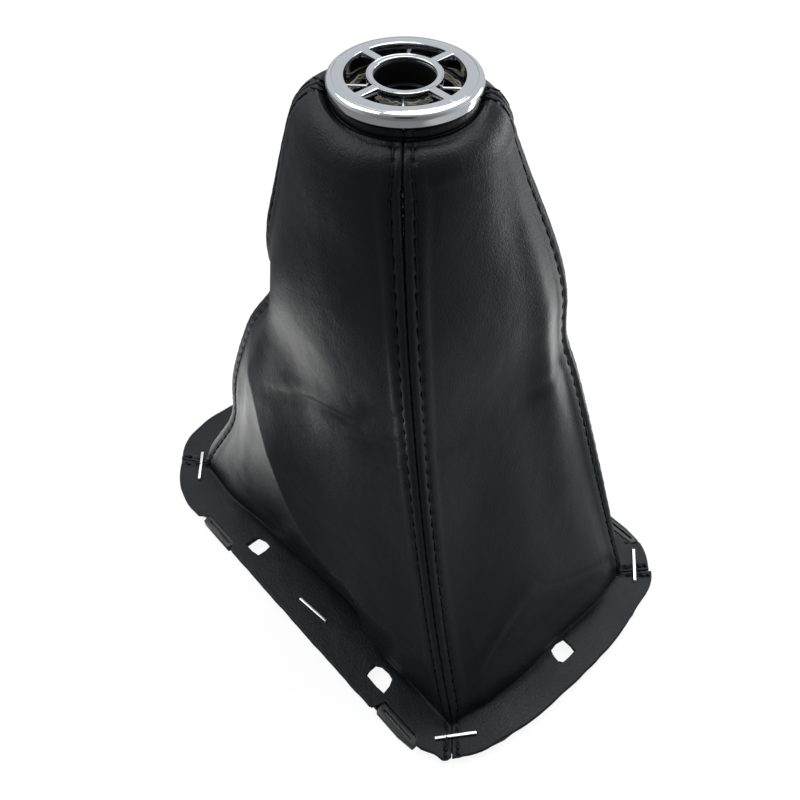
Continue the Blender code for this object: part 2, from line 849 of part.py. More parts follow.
def make_frame(parts, cutters, material, tools):
    frame = flat_plate(
        "base_frame",
        (outline_loop(LEATHER_OVERHANG), outline_loop(LEATHER_OVERHANG + FRAME_BORDER)),
        FRAME_THICKNESS,
        parts,
        material,
    )
    reach = flat_plate("lug_reach", (outline_loop(-LUG_REACH),), LUG_TOP, cutters, material)
    as_cutter(reach)
    for lug in lug_blocks("lug", 0.0, LUG_TOP, cutters):
        combine(lug, reach, "INTERSECT")
        combine(frame, lug, "UNION")
    for k, centre in enumerate(slot_places()):
        size = (LUG_SLOT_LENGTH, LUG_SLOT_WIDTH, 4 * FLANGE_TOP)
        slot = block(f"lug_slot_{k + 1}", size, centre, 0, cutters)
        combine(frame, as_cutter(slot), "DIFFERENCE")
    for tool in tools:
        combine(frame, tool, "DIFFERENCE")
    return frame


def make_panels(parts, material, tools):
    skins = [panel_rows(name, SEAMS.index(first), SEAMS.index(last)) for name, first, last in PANELS]
    for index, (name, _, _) in enumerate(PANELS):
        panel = add_object(name, loft(name, panel_sections(skins, index)), parts, material)
        smooth(panel)
        for tool in tools:
            if touches(panel, tool):
                combine(panel, tool, "DIFFERENCE")


def touches(thing, tool):
    """Whether a tool's middle lies within a panel's own side of the base."""
    start = SEAMS.index(next(first for name, first, _ in PANELS if name == thing.name))
    ahead = polar(diagonal(start) + math.pi / 4, 1.0)
    place = tool.location
    along_side = abs(place.dot(Vector((-ahead.y, ahead.x, 0))))
    out = place.dot(ahead)
    half = (BASE_LENGTH / 2, BASE_WIDTH / 2)[abs(ahead.y) > 0.5]
    half_along = (BASE_WIDTH / 2, BASE_LENGTH / 2)[abs(ahead.y) > 0.5]
    return out > 0 and (half - out) < (half_along - along_side)


def make_staples(parts, material):
    low = CLEARANCE
    seat = FLANGE_TOP + CLEARANCE
    top = seat + WIRE_THICKNESS
    half = CROWN_LENGTH / 2
    inner = half - WIRE_THICKNESS
    outline = [(-half, low), (-inner, low), (-inner, seat), (inner, seat), (inner, low), (half, low)]
    for turn in (0, 30, 60, 90):
        angle = math.radians(turn)
        outline.append(
            (
                half - STAPLE_BEND * (1 - math.cos(angle)),
                top - STAPLE_BEND * (1 - math.sin(angle)),
            )
        )
    for turn in (90, 120, 150, 180):
        angle = math.radians(turn)
        outline.append(
            (
                -half + STAPLE_BEND * (1 + math.cos(angle)),
                top - STAPLE_BEND * (1 - math.sin(angle)),
            )
        )
    for k, (centre, turn) in enumerate(staple_places()):
        staple = flat_plate(f"staple_{k + 1}", (outline,), WIRE_WIDTH, parts, material)
        staple.data.transform(Matrix.Translation((0, 0, -WIRE_WIDTH / 2)))
        staple.data.transform(Matrix.Rotation(math.radians(90), 4, "X"))
        staple.location = centre
        staple.rotation_euler = (0, 0, turn)


def build():
    clear_scene()
    parts = make_collection("gear_lever_gaiter")
    cutters = make_collection("cutters")
    chrome = make_material("chrome_plated_abs", (0.62, 0.63, 0.65), 0.12, 1.0)
    plastic = make_material("black_abs", (0.012, 0.012, 0.013), 0.40)
    leather = make_material("black_leather", (0.016, 0.018, 0.020), 0.55)
    steel = make_material("galvanised_steel", (0.55, 0.56, 0.57), 0.32, 1.0)
    make_collar(parts, cutters, chrome)
    make_sleeve(parts, plastic)
    make_hoop(parts, plastic)
    legs = leg_hole_cutters(cutters)
    frame_holes = clip_hole_cutters("frame", HOLE_SIZE + 2 * FRAME_HOLE_MARGIN, cutters)
    leather_holes = clip_hole_cutters("leather", HOLE_SIZE, cutters)
    make_frame(parts, cutters, plastic, legs + frame_holes)
    notches = lug_blocks("lug_notch", CLEARANCE, 4 * FLANGE_TOP, cutters)
    make_panels(parts, leather, legs + leather_holes + notches)
    make_staples(parts, steel)


build()
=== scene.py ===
"""Looks of a gear lever gaiter: four leather panels sewn into a boot, turned over a hoop under a
plated collar and stapled to a base frame. Lengths are in metres, +Z is up and +X is the car's front.
"""

import math

import bmesh
import bpy
import numpy as np
from bpy.props import FloatProperty, FloatVectorProperty, PointerProperty
from mathutils import Matrix, Vector, noise


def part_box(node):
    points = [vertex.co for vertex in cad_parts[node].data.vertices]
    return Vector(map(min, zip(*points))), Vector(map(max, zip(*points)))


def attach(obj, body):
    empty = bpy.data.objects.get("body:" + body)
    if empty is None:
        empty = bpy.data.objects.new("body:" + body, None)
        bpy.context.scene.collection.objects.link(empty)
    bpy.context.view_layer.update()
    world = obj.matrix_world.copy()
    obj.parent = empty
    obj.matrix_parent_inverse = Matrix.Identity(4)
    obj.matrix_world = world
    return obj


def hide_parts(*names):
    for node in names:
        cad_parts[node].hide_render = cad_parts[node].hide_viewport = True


bl_info = {
    "name": "Gear Lever Gaiter",
    "version": (1, 0, 0),
    "blender": (4, 5, 0),
    "location": "3D View > Sidebar > Gaiter",
    "description": "A sewn leather gaiter with a plated collar, stapled to its base frame",
    "category": "Add Mesh",
}

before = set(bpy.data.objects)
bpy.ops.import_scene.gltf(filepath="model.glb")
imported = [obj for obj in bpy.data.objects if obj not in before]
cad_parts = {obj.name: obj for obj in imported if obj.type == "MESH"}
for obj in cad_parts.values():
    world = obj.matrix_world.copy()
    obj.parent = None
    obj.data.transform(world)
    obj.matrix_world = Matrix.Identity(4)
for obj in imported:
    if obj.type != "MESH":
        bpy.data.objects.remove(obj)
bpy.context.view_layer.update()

# The frame's own sizes, which the looks follow.
TOTAL_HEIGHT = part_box("collar")[1].z
COLLAR_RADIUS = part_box("collar")[1].x
COLLAR_HEIGHT = 0.0031
COLLAR_ROUNDING = 0.0014
COLLAR_LOWER_ROUNDING = 0.0006
FACE_THICKNESS = 0.0016
RING_WALL = 0.0008
FRAME_TOP = 0.0018
BASE_LENGTH = 0.1640
BASE_WIDTH = 0.1104
BASE_CORNER = 0.0300
LEATHER = 0.0011
CLEARANCE = 0.0003
FLANGE_TOP = FRAME_TOP + CLEARANCE + LEATHER
END_BOW = 0.0005
END_HOLLOW = 0.0016
END_HOLLOW_PLACE = 0.0310
END_HOLLOW_REACH = 0.0180

# Collar's face: windows between a hub and a ring, ribs below them.
WINDOW_RADIUS = 0.0132
HUB_RADIUS = 0.0084
HUB_HEIGHT = 0.0059
LEVER_BORE = 0.00685
BORE_LIP = 0.0008
SLEEVE_LEDGE = 0.0007
SLEEVE_TAIL = 0.0050
HOOP_RADIUS = 0.0150
HOOP_WALL = 0.0008
SPOKE_WIDTH = 0.00195
RIB_WIDTH = 0.0009
RIB_DEPTH = 0.0030
INNER_WALL_HEIGHT = 0.0040

# Neck and shoulder of the leather.
BAND_TOP = TOTAL_HEIGHT - 0.0034
BAND_RADIUS = 0.0166
GROOVE_HEIGHT = BAND_TOP - 0.0020
GROOVE_RADIUS = 0.0164
HEM_RADIUS = 0.0128
HEM_DEPTH = 0.0084
HEM_FLARE = 0.0003
HEM_CORNER = 0.0013
HEM_SINK = 0.0009
CREST_RADIUS = 0.0185
SHOULDER_WIDTH = 0.0062
SHOULDER_HEIGHT = 0.0070
WALL_RADIUS = CREST_RADIUS + SHOULDER_WIDTH
WALL_TOP = GROOVE_HEIGHT - 0.0008 - SHOULDER_HEIGHT
SHOULDER_LIFTS = ((0.0, 0.010), (0.0023, 0.012), (0.0020, 0.014), (0.0034, 0.026))
# How far the shoulder's curve falls to a straight slope beside each seam, and how far that reaches.
SHOULDER_SLOPES = ((0.15, 0.030), (0.34, 0.036), (0.45, 0.036), (0.44, 0.040))

# Seams, in order round the boot: front right, front left, rear left and rear right.
NECK_ANGLES = (-43.2, 46.0, 137.0, 224.5)
FOOT_CORNERS = ((0.01521, 0.01491), (0.01445, 0.0162), (0.01514, 0.01503), (0.01673, 0.01473))
SEAM_LINE = (
    *((0.0, 0.0), (0.09, 0.11), (0.21, 0.27), (0.30, 0.348), (0.40, 0.388)),
    *((0.49, 0.487), (0.70, 0.70), (0.89, 0.895), (0.955, 0.97), (1.0, 1.0)),
)
ROUNDNESS = ((0.0, 1.0), (0.1, 0.6), (0.2, 0.4), (0.35, 0.2), (0.6, 0.08), (1.0, 0.0))
SLACK_SEAM = 3
SLACKS = ((0.0, -0.0022, 0.022), (0.31, 0.0075, 0.016), (0.79, 0.0042, 0.016))
SLACK_FALL = 0.2

# Panels, each with the seams it lies between.
PANELS = {
    "right_panel": (3, 0),
    "front_panel": (0, 1),
    "left_panel": (1, 2),
    "rear_panel": (2, 3),
}
# How far each panel's foot stands out, for the share across.
FOOT_BOWS = {
    "right_panel": (
        *((0.0, 0.0), (0.13, 0.0015), (0.30, -0.0004), (0.49, -0.0024)),
        *((0.65, -0.0037), (0.76, 0.0004), (1.0, 0.0)),
    ),
    "front_panel": ((0.0, 0.0), (0.2, 0.0027), (0.4, 0.0034), (0.6, 0.0024), (0.8, 0.0022), (1.0, 0.0)),
    "left_panel": ((0.0, 0.0), (0.3, 0.0012), (0.6, -0.0018), (1.0, 0.0)),
    "rear_panel": ((0.0, 0.0), (0.5, 0.0020), (1.0, 0.0)),
}
FOOT_BOW_REACH = 0.30
# Ridges round the flat facets at the foot: share across, share down, how far out.
RIDGES = {
    "right_panel": (
        *((0.0, 0.42, 0.0), (0.165, 0.53, 0.0030), (0.34, 0.66, 0.0052), (0.50, 0.785, 0.0058)),
        *((0.62, 0.83, 0.0052), (0.80, 0.84, 0.0042), (0.93, 0.86, 0.0020), (1.0, 0.92, 0.0)),
    ),
    "front_panel": (
        *((0.0, 0.97, 0.0), (0.12, 0.90, 0.0022), (0.30, 0.82, 0.0044), (0.45, 0.795, 0.0055)),
        *((0.65, 0.835, 0.0052), (0.85, 0.885, 0.0036), (1.0, 0.95, 0.0)),
    ),
    "left_panel": ((0.0, 0.97, 0.0), (0.30, 0.90, 0.0035), (0.60, 0.78, 0.0045), (1.0, 0.55, 0.0)),
}
RIDGE_FADE = 0.30
# Soft swells: share across, share down, reach across, reach down and how far out.
SWELLS = {
    "right_panel": ((0.60, 0.38, 0.40, 0.20, 0.0012), (0.12, 0.50, 0.13, 0.26, 0.0022)),
    "front_panel": (
        (0.80, 0.42, 0.24, 0.12, 0.0012),
        (0.30, 0.55, 0.30, 0.20, -0.0010),
        (0.79, 0.40, 0.17, 0.60, 0.0020),
    ),
    "left_panel": ((0.40, 0.40, 0.34, 0.22, 0.0016),),
    "rear_panel": ((0.45, 0.70, 0.40, 0.20, 0.0024), (0.55, 0.33, 0.36, 0.12, -0.0018)),
}

# Creases: its line of (share across, share down), its width and how far it sinks (-) or stands out (+).
CREASES = {
    "right_panel": (
        (((0.26, 0.52), (0.51, 0.45), (0.73, 0.415), (0.79, 0.37), (0.99, 0.345)), 0.0024, -0.0006),
        (((0.30, 0.49), (0.52, 0.425), (0.72, 0.39), (0.80, 0.34)), 0.0034, 0.0006),
        (((0.66, 0.46), (0.84, 0.43), (0.97, 0.405)), 0.0013, -0.0003),
        (((0.27, 0.505), (0.50, 0.445), (0.66, 0.43), (0.84, 0.385), (0.98, 0.355)), 0.0009, -0.0003),
        (((0.80, 0.36), (0.97, 0.33)), 0.0008, -0.00025),
        (((0.86, 0.40), (0.98, 0.385)), 0.0008, -0.00025),
        (((0.70, 0.50), (0.86, 0.47), (0.96, 0.455)), 0.0012, -0.0002),
        (((0.10, 0.60), (0.09, 0.74), (0.13, 0.88)), 0.0030, -0.0006),
        (((0.18, 0.66), (0.17, 0.80), (0.21, 0.92)), 0.0030, 0.0005),
        (((0.30, 0.90), (0.50, 0.945), (0.72, 0.93), (0.90, 0.955)), 0.0016, -0.0005),
    ),
    "front_panel": (
        (
            (
                *((0.385, 0.80), (0.485, 0.795), (0.635, 0.835), (0.83, 0.88)),
                *((0.915, 0.93), (0.92, 0.965), (0.99, 0.995)),
            ),
            0.0018,
            -0.0007,
        ),
        (((0.11, 0.905), (0.21, 0.855), (0.315, 0.82)), 0.0026, 0.0005),
        (((0.615, 0.43), (0.92, 0.425), (0.98, 0.41)), 0.0026, -0.0005),
        (((0.02, 0.415), (0.16, 0.42), (0.30, 0.44)), 0.0016, -0.0003),
        (((0.22, 0.93), (0.24, 0.90), (0.30, 0.865), (0.40, 0.82)), 0.0011, -0.0004),
    ),
    "left_panel": (
        (((0.10, 0.42), (0.40, 0.47), (0.74, 0.44)), 0.0028, -0.0007),
        (((0.14, 0.45), (0.42, 0.505), (0.70, 0.48)), 0.0034, 0.0005),
        (((0.30, 0.93), (0.55, 0.90), (0.80, 0.93)), 0.0018, -0.0005),
    ),
    "rear_panel": (
        (((0.08, 0.36), (0.45, 0.41), (0.92, 0.37)), 0.0028, -0.0007),
        (((0.12, 0.62), (0.40, 0.67), (0.66, 0.62)), 0.0026, -0.0005),
        (((0.30, 0.90), (0.60, 0.93), (0.86, 0.90)), 0.0018, -0.0005),
    ),
}

# How far each seam's lips stand further out than in the frame, for the share of the way down.
SEAM_TRIMS = (
    ((0.0, 0.0), (1.0, 0.0)),
    ((0.0, 0.0), (0.1, 0.0003), (0.2, -0.0001), (0.3, 0.0002), (0.5, 0.0003), (0.9, 0.0001), (1.0, 0.0)),
    ((0.0, 0.0), (1.0, 0.0)),
    (
        *((0.0, 0.0), (0.08, -0.0003), (0.19, -0.0007), (0.27, 0.0012), (0.35, 0.0010)),
        *((0.43, 0.0008), (0.60, 0.0012), (0.72, 0.0014), (0.86, 0.0003), (1.0, 0.0)),
    ),
)
# Where a seam lies further round the boot than in the frame: how far, which way and how wide the turn.
SEAM_SHIFTS = {
    1: (((0.0, 0.0), (0.12, 0.0018), (0.30, 0.0034), (0.80, 0.0034), (1.0, 0.0)), (-0.746, 0.666), 0.0110),
    3: (
        ((0.0, 0.0), (0.26, 0.0004), (0.40, 0.0062), (0.64, 0.0068), (0.84, 0.0034), (1.0, 0.0)),
        (-0.45, 0.89),
        0.0110,
    ),
}
# Hand-trimmed edge of the flange: share across, reach in shares and how far out.
EDGE_TRIMS = {
    "right_panel": (
        *((0.985, 0.014, 0.0014), (0.80, 0.12, -0.0002), (0.14, 0.05, 0.0006), (0.0, 0.05, -0.0005)),
    ),
    "front_panel": ((0.0, 0.022, 0.0008), (0.97, 0.06, 0.0012), (0.80, 0.08, -0.0003), (0.5, 0.1, 0.0002)),
    "left_panel": ((0.05, 0.05, 0.0006), (0.5, 0.3, 0.0003)),
    "rear_panel": ((0.82, 0.13, 0.0022), (1.0, 0.05, -0.0005), (0.4, 0.3, -0.0003)),
}
EDGE_WAVE = 0.00022
EDGE_WAVE_LENGTH = 0.005
# How far the leather bulges just above the foot before it tucks in, for the share across.
FOOT_TUCKS = {
    "right_panel": ((0.0, 0.0), (0.15, 0.0006), (0.45, 0.0012), (0.75, 0.0012), (0.95, 0.0005), (1.0, 0.0)),
    "front_panel": ((0.0, 0.0), (0.3, 0.0005), (0.6, 0.0010), (0.9, 0.0006), (1.0, 0.0)),
    "left_panel": ((0.0, 0.0), (0.3, 0.0008), (0.7, 0.0008), (1.0, 0.0)),
    "rear_panel": ((0.0, 0.0), (0.5, 0.0008), (1.0, 0.0)),
}

# Leather mesh: columns beside a seam, counted from its lip, and rows down the panel.
LIP_STEPS = (0, 0.25, 0.5, 0.8, 1.0, 1.2, 1.4, 1.6, 1.9, 2.3, 2.8, 3.3, 3.8, 4.2, 4.8, 5.6, 6.6)
LIP_COLUMNS = tuple(0.001 * step for step in LIP_STEPS)
STITCH_COLUMN = 5
ALLOWANCE_COLUMN = 12
MIDDLE_COLUMNS = {"right_panel": 119, "front_panel": 79, "left_panel": 119, "rear_panel": 79}
LIP_GAP = 0.00012
WALL_ROWS = 210
FLANGE_ROWS = 26
ROLL_STEPS = 8
LIP_PROUD = 0.0003
LIP_REACH = 0.0090
STITCH_VALLEY = 0.00026
STITCH_VALLEY_WIDTH = 0.0007
STITCH_HOLE = 0.00042
STITCH_HOLE_WIDTH = 0.00062
ALLOWANCE_STEP = 0.0003

# Clip holes, each punched by hand: its middle in metres, and its corners round it in millimetres.
ROUND_HOLE = (
    *((-3.0, -2.9), (-3.3, -0.6), (-2.6, 2.0), (0.0, 3.0)),
    *((2.8, 2.9), (3.2, 0.6), (3.1, -2.3), (0.2, -2.9)),
)
LONG_HOLE = (
    *((-3.7, -2.4), (-4.3, -0.4), (-4.4, 1.7), (-2.6, 2.9), (0.3, 3.2)),
    *((2.6, 2.7), (3.8, 0.4), (4.3, -2.3), (1.4, -2.6)),
)
END_HOLE = (
    *((-2.6, -2.6), (-3.0, 0.4), (-2.4, 3.1), (0.5, 3.2), (2.6, 2.8)),
    *((2.8, -0.4), (2.7, -2.8), (1.3, -3.7), (-0.7, -3.4)),
)
CLIP_HOLES = (
    ("right_panel", (-0.0229, -0.0468), ROUND_HOLE),
    ("right_panel", (0.0413, -0.0466), LONG_HOLE),
    ("left_panel", (-0.0231, 0.0467), ROUND_HOLE),
    ("left_panel", (0.0413, 0.0467), ROUND_HOLE),
    ("front_panel", (0.0730, 0.0027), END_HOLE),
    ("rear_panel", (-0.0728, 0.0029), END_HOLE),
)
# Notches in the leather's edge round the lugs: from and to along the side, and how far out they leave it.
NOTCHES = ((-0.0456, -0.0293, 0.0521), (0.0472, 0.0632, 0.0502))
NOTCH_RAMP = 0.0007
# The frame's holes are cut wider than the leather's.
HOLE_REACH = 0.0075
FRAME_HOLE_HALF = 0.0040
FRAME_HOLE_GROWTH = 1.29
# Lugs: how far out they reach at the rear and the front, and where each slot lies and how wide it stays.
LUG_REACH = (0.0551, 0.0541)
LUG_START = 0.0536
LUG_KEEP = 0.90
LUG_SLOTS = ((0.0554, 0.0522, 0.55), (-0.0372, 0.0535, 0.40))
SLOT_HALF_LENGTH = 0.0061
SLOT_HALF_WIDTH = 0.0008

# Staples: the wire, its bend and its places.
CROWN_LENGTH = 0.0128
WIRE_WIDTH = 0.00095
WIRE_THICKNESS = 0.00065
WIRE_BEND = 0.0006
WIRE_EDGE = 0.0002
STAPLE_TOP = FLANGE_TOP + CLEARANCE + WIRE_THICKNESS
PATTERN_SHIFT = 0.0091
SIDE_STAPLE_INSET = 0.0073
SIDE_STAPLE_SKEW = 6.0
CORNER_STAPLES = ((0.0059, 2.2, 11.0), (0.0048, 3.2, -4.7), (0.0066, -3.0, 3.0), (0.0082, 7.9, 5.9))

# Topstitching: how far each stitch stands up, in widths of the thread, and the knots at its ends.
STITCH_LIFT = 0.12
STITCH_SHARE = 0.88
KNOT_LIFT = 0.3
KNOT_BACK = 0.002
KNOT_LENGTH = 0.0016
KNOT_WIDTH = 0.0011
# Rows whose thread crosses over a staple: panel and column.
OVER_STAPLES = (("right_panel", -1 - STITCH_COLUMN), ("right_panel", STITCH_COLUMN))
CROWN_REACH = 0.0022
# Stitches that show in the joint of each seam.
SEAM_STITCH_PITCH = 0.0036
SEAM_STITCH_LENGTH = 0.0012
SEAM_STITCH_WIDTH = 0.00042
SEAM_STITCH_SINK = 0.00035

# Yarns at the raw edge: radius and depth below the collar's face, and how they wander.
HEM_STEPS = 120
HEM_STRANDS = ((0.01248, 0.0047), (0.01240, 0.0051), (0.01252, 0.0054), (0.01236, 0.0058))
HEM_SWAY = 0.00016
HEM_DRIFT = 0.0001
HEM_RISE = 0.00018

# Steps in a full turn.
COLLAR_STEPS = 128
SLEEVE_STEPS = 96

# Painted reflections: a glow painted on the floor that only glossy rays see, as if of white cards on the
# table.
# Each patch: the way to it, where its glow starts, where it is full, and its strength.
# The last two rows end the second patch, far out and on the right panel's side.
FLOOR_GLOW_PATCHES = (
    ((0.5, 0.87), 0.03, 0.15, 0.45),
    ((-0.85, 0.53), 0.002, 0.022, 3.5),
    ((-0.85, 0.53), 0.05, 0.12, -3.5),
    ((0.0, -1.0), 0.09, 0.125, -3.5),
)
# Painted glow that glossy rays see on the floor everywhere, in place of the white that the camera sees.
FLOOR_GLOW = 0.24
FLOOR_WHITE = 1.12
FLOOR_SHARE = 0.8

# Camera, measured from the photograph.
CAMERA_PLACE = (0.12924, -0.11700, 0.26531)
CAMERA_AIM = (-0.4882, 0.4365, -0.7557)
CAMERA_LENS = 39.285
CAMERA_SENSOR = 36.0


def linear(code):
    """A colour written as sRGB hex, as the linear numbers that Blender wants."""
    values = []
    for place in (1, 3, 5):
        level = int(code[place : place + 2], 16) / 255
        values.append(level / 12.92 if level <= 0.04045 else ((level + 0.055) / 1.055) ** 2.4)
    return tuple(values)


def mix(start, end, share):
    return start + (end - start) * share


def bump(distance, reach):
    """A smooth hill, 1 at its middle and nearly 0 at its reach."""
    return np.exp(-4.0 * (distance / reach) ** 2)


def smoothstep(low, high, value):
    share = np.clip((value - low) / (high - low), 0.0, 1.0)
    return share * share * (3.0 - 2.0 * share)


def along(knots, places):
    """The heights of a smooth line through the knots, at many places along it."""
    x = np.array([knot[0] for knot in knots], float)
    y = np.array([knot[1] for knot in knots], float)
    slopes = np.empty(len(x))
    slopes[1:-1] = (y[2:] - y[:-2]) / (x[2:] - x[:-2])
    slopes[0] = (y[1] - y[0]) / (x[1] - x[0])
    slopes[-1] = (y[-1] - y[-2]) / (x[-1] - x[-2])
    places = np.clip(places, x[0], x[-1])
    i = np.clip(np.searchsorted(x, places) - 1, 0, len(x) - 2)
    span = x[i + 1] - x[i]
    t = (places - x[i]) / span
    return (
        (2 * t**3 - 3 * t**2 + 1) * y[i]
        + (t**3 - 2 * t**2 + t) * slopes[i] * span
        + (3 * t**2 - 2 * t**3) * y[i + 1]
        + (t**3 - t**2) * slopes[i + 1] * span
    )


def polar(angle, radius, height=0.0):
    """A point, or a row of points, at an angle in radians."""
    angle, radius, height = np.broadcast_arrays(angle, radius, height)
    return np.stack([radius * np.cos(angle), radius * np.sin(angle), height], axis=-1)


def unit(vectors):
    return vectors / np.maximum(np.linalg.norm(vectors, axis=-1, keepdims=True), 1e-12)


# Base outline.
def inside_corner(seam, end_inset, side_inset):
    side_x = (1, 1, -1, -1)[seam]
    side_y = (-1, 1, 1, -1)[seam]
    return np.array((side_x * (BASE_LENGTH / 2 - end_inset), side_y * (BASE_WIDTH / 2 - side_inset), 0.0))


def diagonal(seam):
    return math.radians(-45 + 90 * seam)


def outline_length(start):
    a = inside_corner(start, BASE_CORNER, BASE_CORNER)
    b = inside_corner((start + 1) % 4, BASE_CORNER, BASE_CORNER)
    return BASE_CORNER * math.pi / 2 + np.linalg.norm(b - a)


def outline_row(start, shares):
    """Points of the leather's trimmed edge between the middles of two corners."""
    a = inside_corner(start, BASE_CORNER, BASE_CORNER)
    b = inside_corner((start + 1) % 4, BASE_CORNER, BASE_CORNER)
    arc = BASE_CORNER * math.pi / 4
    length = outline_length(start)
    gone = shares * length
    side = polar(diagonal(start) + math.pi / 4, BASE_CORNER)
    first = a + polar(diagonal(start) + gone / BASE_CORNER, BASE_CORNER)
    share = np.clip((gone - arc) / (length - 2 * arc), 0, 1)[:, None]
    middle = a + (b - a) * share + side
    last = b + polar(diagonal(start) + math.pi / 2 - (length - gone) / BASE_CORNER, BASE_CORNER)
    row = np.where((gone < arc)[:, None], first, np.where((gone < length - arc)[:, None], middle, last))
    full = END_BOW * bump(row[:, 1], BASE_WIDTH / 2)
    hollow = END_HOLLOW * bump(np.abs(row[:, 1]) - END_HOLLOW_PLACE, END_HOLLOW_REACH)
    on_end = np.abs(row[:, 0]) >= BASE_LENGTH / 2 - BASE_CORNER
    row[:, 0] += np.sign(row[:, 0]) * (full - hollow) * on_end
    return row


# Boot.
def seam_point(seam, drop):
    foot = inside_corner(seam, *FOOT_CORNERS[seam])
    foot_angle = math.atan2(foot[1], foot[0])
    if foot_angle < diagonal(seam) - math.pi:
        foot_angle += 2 * math.pi
    angle = mix(math.radians(NECK_ANGLES[seam]), foot_angle, drop)
    radius = mix(WALL_RADIUS, math.hypot(foot[0], foot[1]), float(along(SEAM_LINE, drop)))
    return polar(angle, radius, mix(WALL_TOP, FLANGE_TOP, drop))


def make_stations():
    """Every row of a panel, from the raw edge in the neck to the trimmed edge of the flange: its kind,
    its place, and how much of the folded seam allowance lies under it."""
    rows = []
    hem_low = TOTAL_HEIGHT - HEM_DEPTH
    hem_high = BAND_TOP - HEM_SINK - HEM_CORNER
    for share in np.linspace(0, 1, 8)[:-1]:
        radius = mix(HEM_RADIUS - HEM_FLARE, HEM_RADIUS, share)
        rows.append(("neck", radius, mix(hem_low, hem_high, share), 0.0))
    for turn in np.radians(np.linspace(180, 90, 7)):
        radius = HEM_RADIUS + HEM_CORNER * (1 + math.cos(turn))
        rows.append(("neck", radius, hem_high + HEM_CORNER * math.sin(turn), 0.0))
    for share in (0.33, 0.67):
        radius = mix(HEM_RADIUS + HEM_CORNER, BAND_RADIUS - HEM_CORNER, share)
        rows.append(("neck", radius, mix(BAND_TOP - HEM_SINK, BAND_TOP, share), 0.0))
    for turn in np.radians(np.linspace(90, 0, 7)):
        radius = BAND_RADIUS - HEM_CORNER * (1 - math.cos(turn))
        rows.append(("neck", radius, BAND_TOP - HEM_CORNER * (1 - math.sin(turn)), 0.0))
    band_low = GROOVE_HEIGHT + 0.0002
    for share in (0.3, 0.6, 1.0):
        rows.append(("neck", BAND_RADIUS, mix(BAND_TOP - HEM_CORNER, band_low, share), 0.0))
    rows.append(("neck", BAND_RADIUS - 0.0003, GROOVE_HEIGHT - 0.0001, 0.0))
    rows.append(("neck", BAND_RADIUS - 0.0004, GROOVE_HEIGHT - 0.0004, 0.0))
    rows.append(("neck", BAND_RADIUS - 0.0001, GROOVE_HEIGHT - 0.0006, 0.05))
    for share in (0.2, 0.4, 0.6, 0.8):
        radius = mix(BAND_RADIUS, CREST_RADIUS, share)
        rise = 0.0004 * math.sin(math.pi * min(1.25 * share, 1.0))
        height = mix(GROOVE_HEIGHT - 0.0006, WALL_TOP + SHOULDER_HEIGHT, share) + rise
        rows.append(("neck", radius, height, 0.2 * share))
    for turn in np.radians(np.linspace(90, 0, 17))[:-1]:
        radius = CREST_RADIUS + SHOULDER_WIDTH * math.cos(turn)
        weight = mix(1.0, 0.25, math.sin(turn))
        rows.append(("neck", radius, WALL_TOP + SHOULDER_HEIGHT * math.sin(turn), weight))
    for drop in np.linspace(0, 1, WALL_ROWS):
        rows.append(("wall", drop, 0.0, float(1 - smoothstep(0.95, 0.995, drop))))
    for share in np.linspace(0, 1, FLANGE_ROWS)[1:]:
        rows.append(("flange", share, 0.0, 0.0))
    return rows


STATIONS = make_stations()
ROW_KINDS = np.array([kind for kind, _, _, _ in STATIONS])
WALL_START = int(np.argmax(ROW_KINDS == "wall"))
FLANGE_START = int(np.argmax(ROW_KINDS == "flange"))
FOLDED = np.array([fold for _, _, _, fold in STATIONS])
DROPS = np.array([place if kind == "wall" else float(kind == "flange") for kind, place, _, _ in STATIONS])
ROLL_RADII = LEATHER / 2 * (1 + FOLDED)
# Stitching runs from under the collar to just short of the trimmed edge.
STITCH_START = WALL_START - 29
STITCH_END = len(STATIONS) - 6


def relief(name, shares, drop):
    """How far a panel stands out of its plain shape, along one row."""
    depth = along(FOOT_BOWS[name], shares) * bump(1.0 - drop, FOOT_BOW_REACH)
    if name in RIDGES:
        line = along([(across, down) for across, down, _ in RIDGES[name]], shares)
        height = along([(across, out) for across, _, out in RIDGES[name]], shares)
        below = height * (1.0 - drop) / (1.0 - line)
        above = height * np.maximum(1.0 - (line - drop) / RIDGE_FADE, 0.0) ** 2
        depth = depth + np.where(drop > line, below, above)
    for across, down, reach, fall, out in SWELLS[name]:
        depth = depth + out * bump(shares - across, reach) * bump(drop - down, fall)
    tuck = along(FOOT_TUCKS[name], shares)
    depth = depth + tuck * (bump(drop - 0.955, 0.07) - 1.2 * float(smoothstep(0.965, 1.0, drop)))
    return depth * np.minimum(1.0, 8.0 * shares * (1.0 - shares))


def slack_in(start, end, row, drop, weight=1.0):
    """Draws a row in towards the slack seam."""
    if SLACK_SEAM not in (start, end):
        return row
    seam = row[0] if start == SLACK_SEAM else row[-1]
    away = np.linalg.norm(row - seam, axis=1)
    pull = np.zeros(len(row))
    for place, depth, reach in SLACKS:
        pull += depth * bump(drop - place, SLACK_FALL) * bump(away, reach)
    inward = -unit(seam * (1.0, 1.0, 0.0)) * weight
    return row + inward * pull[:, None]


def row_width(start, end, station):
    """How wide a panel is along a row."""
    kind, place, _, _ = station
    if kind == "neck":
        first, last = (math.radians(NECK_ANGLES[seam]) for seam in (start, end))
        return place * ((last - first) % (2 * math.pi))
    if kind == "wall":
        return np.linalg.norm(seam_point(end, place) - seam_point(start, place))
    return mix(np.linalg.norm(seam_point(end, 1.0) - seam_point(start, 1.0)), outline_length(start), place)


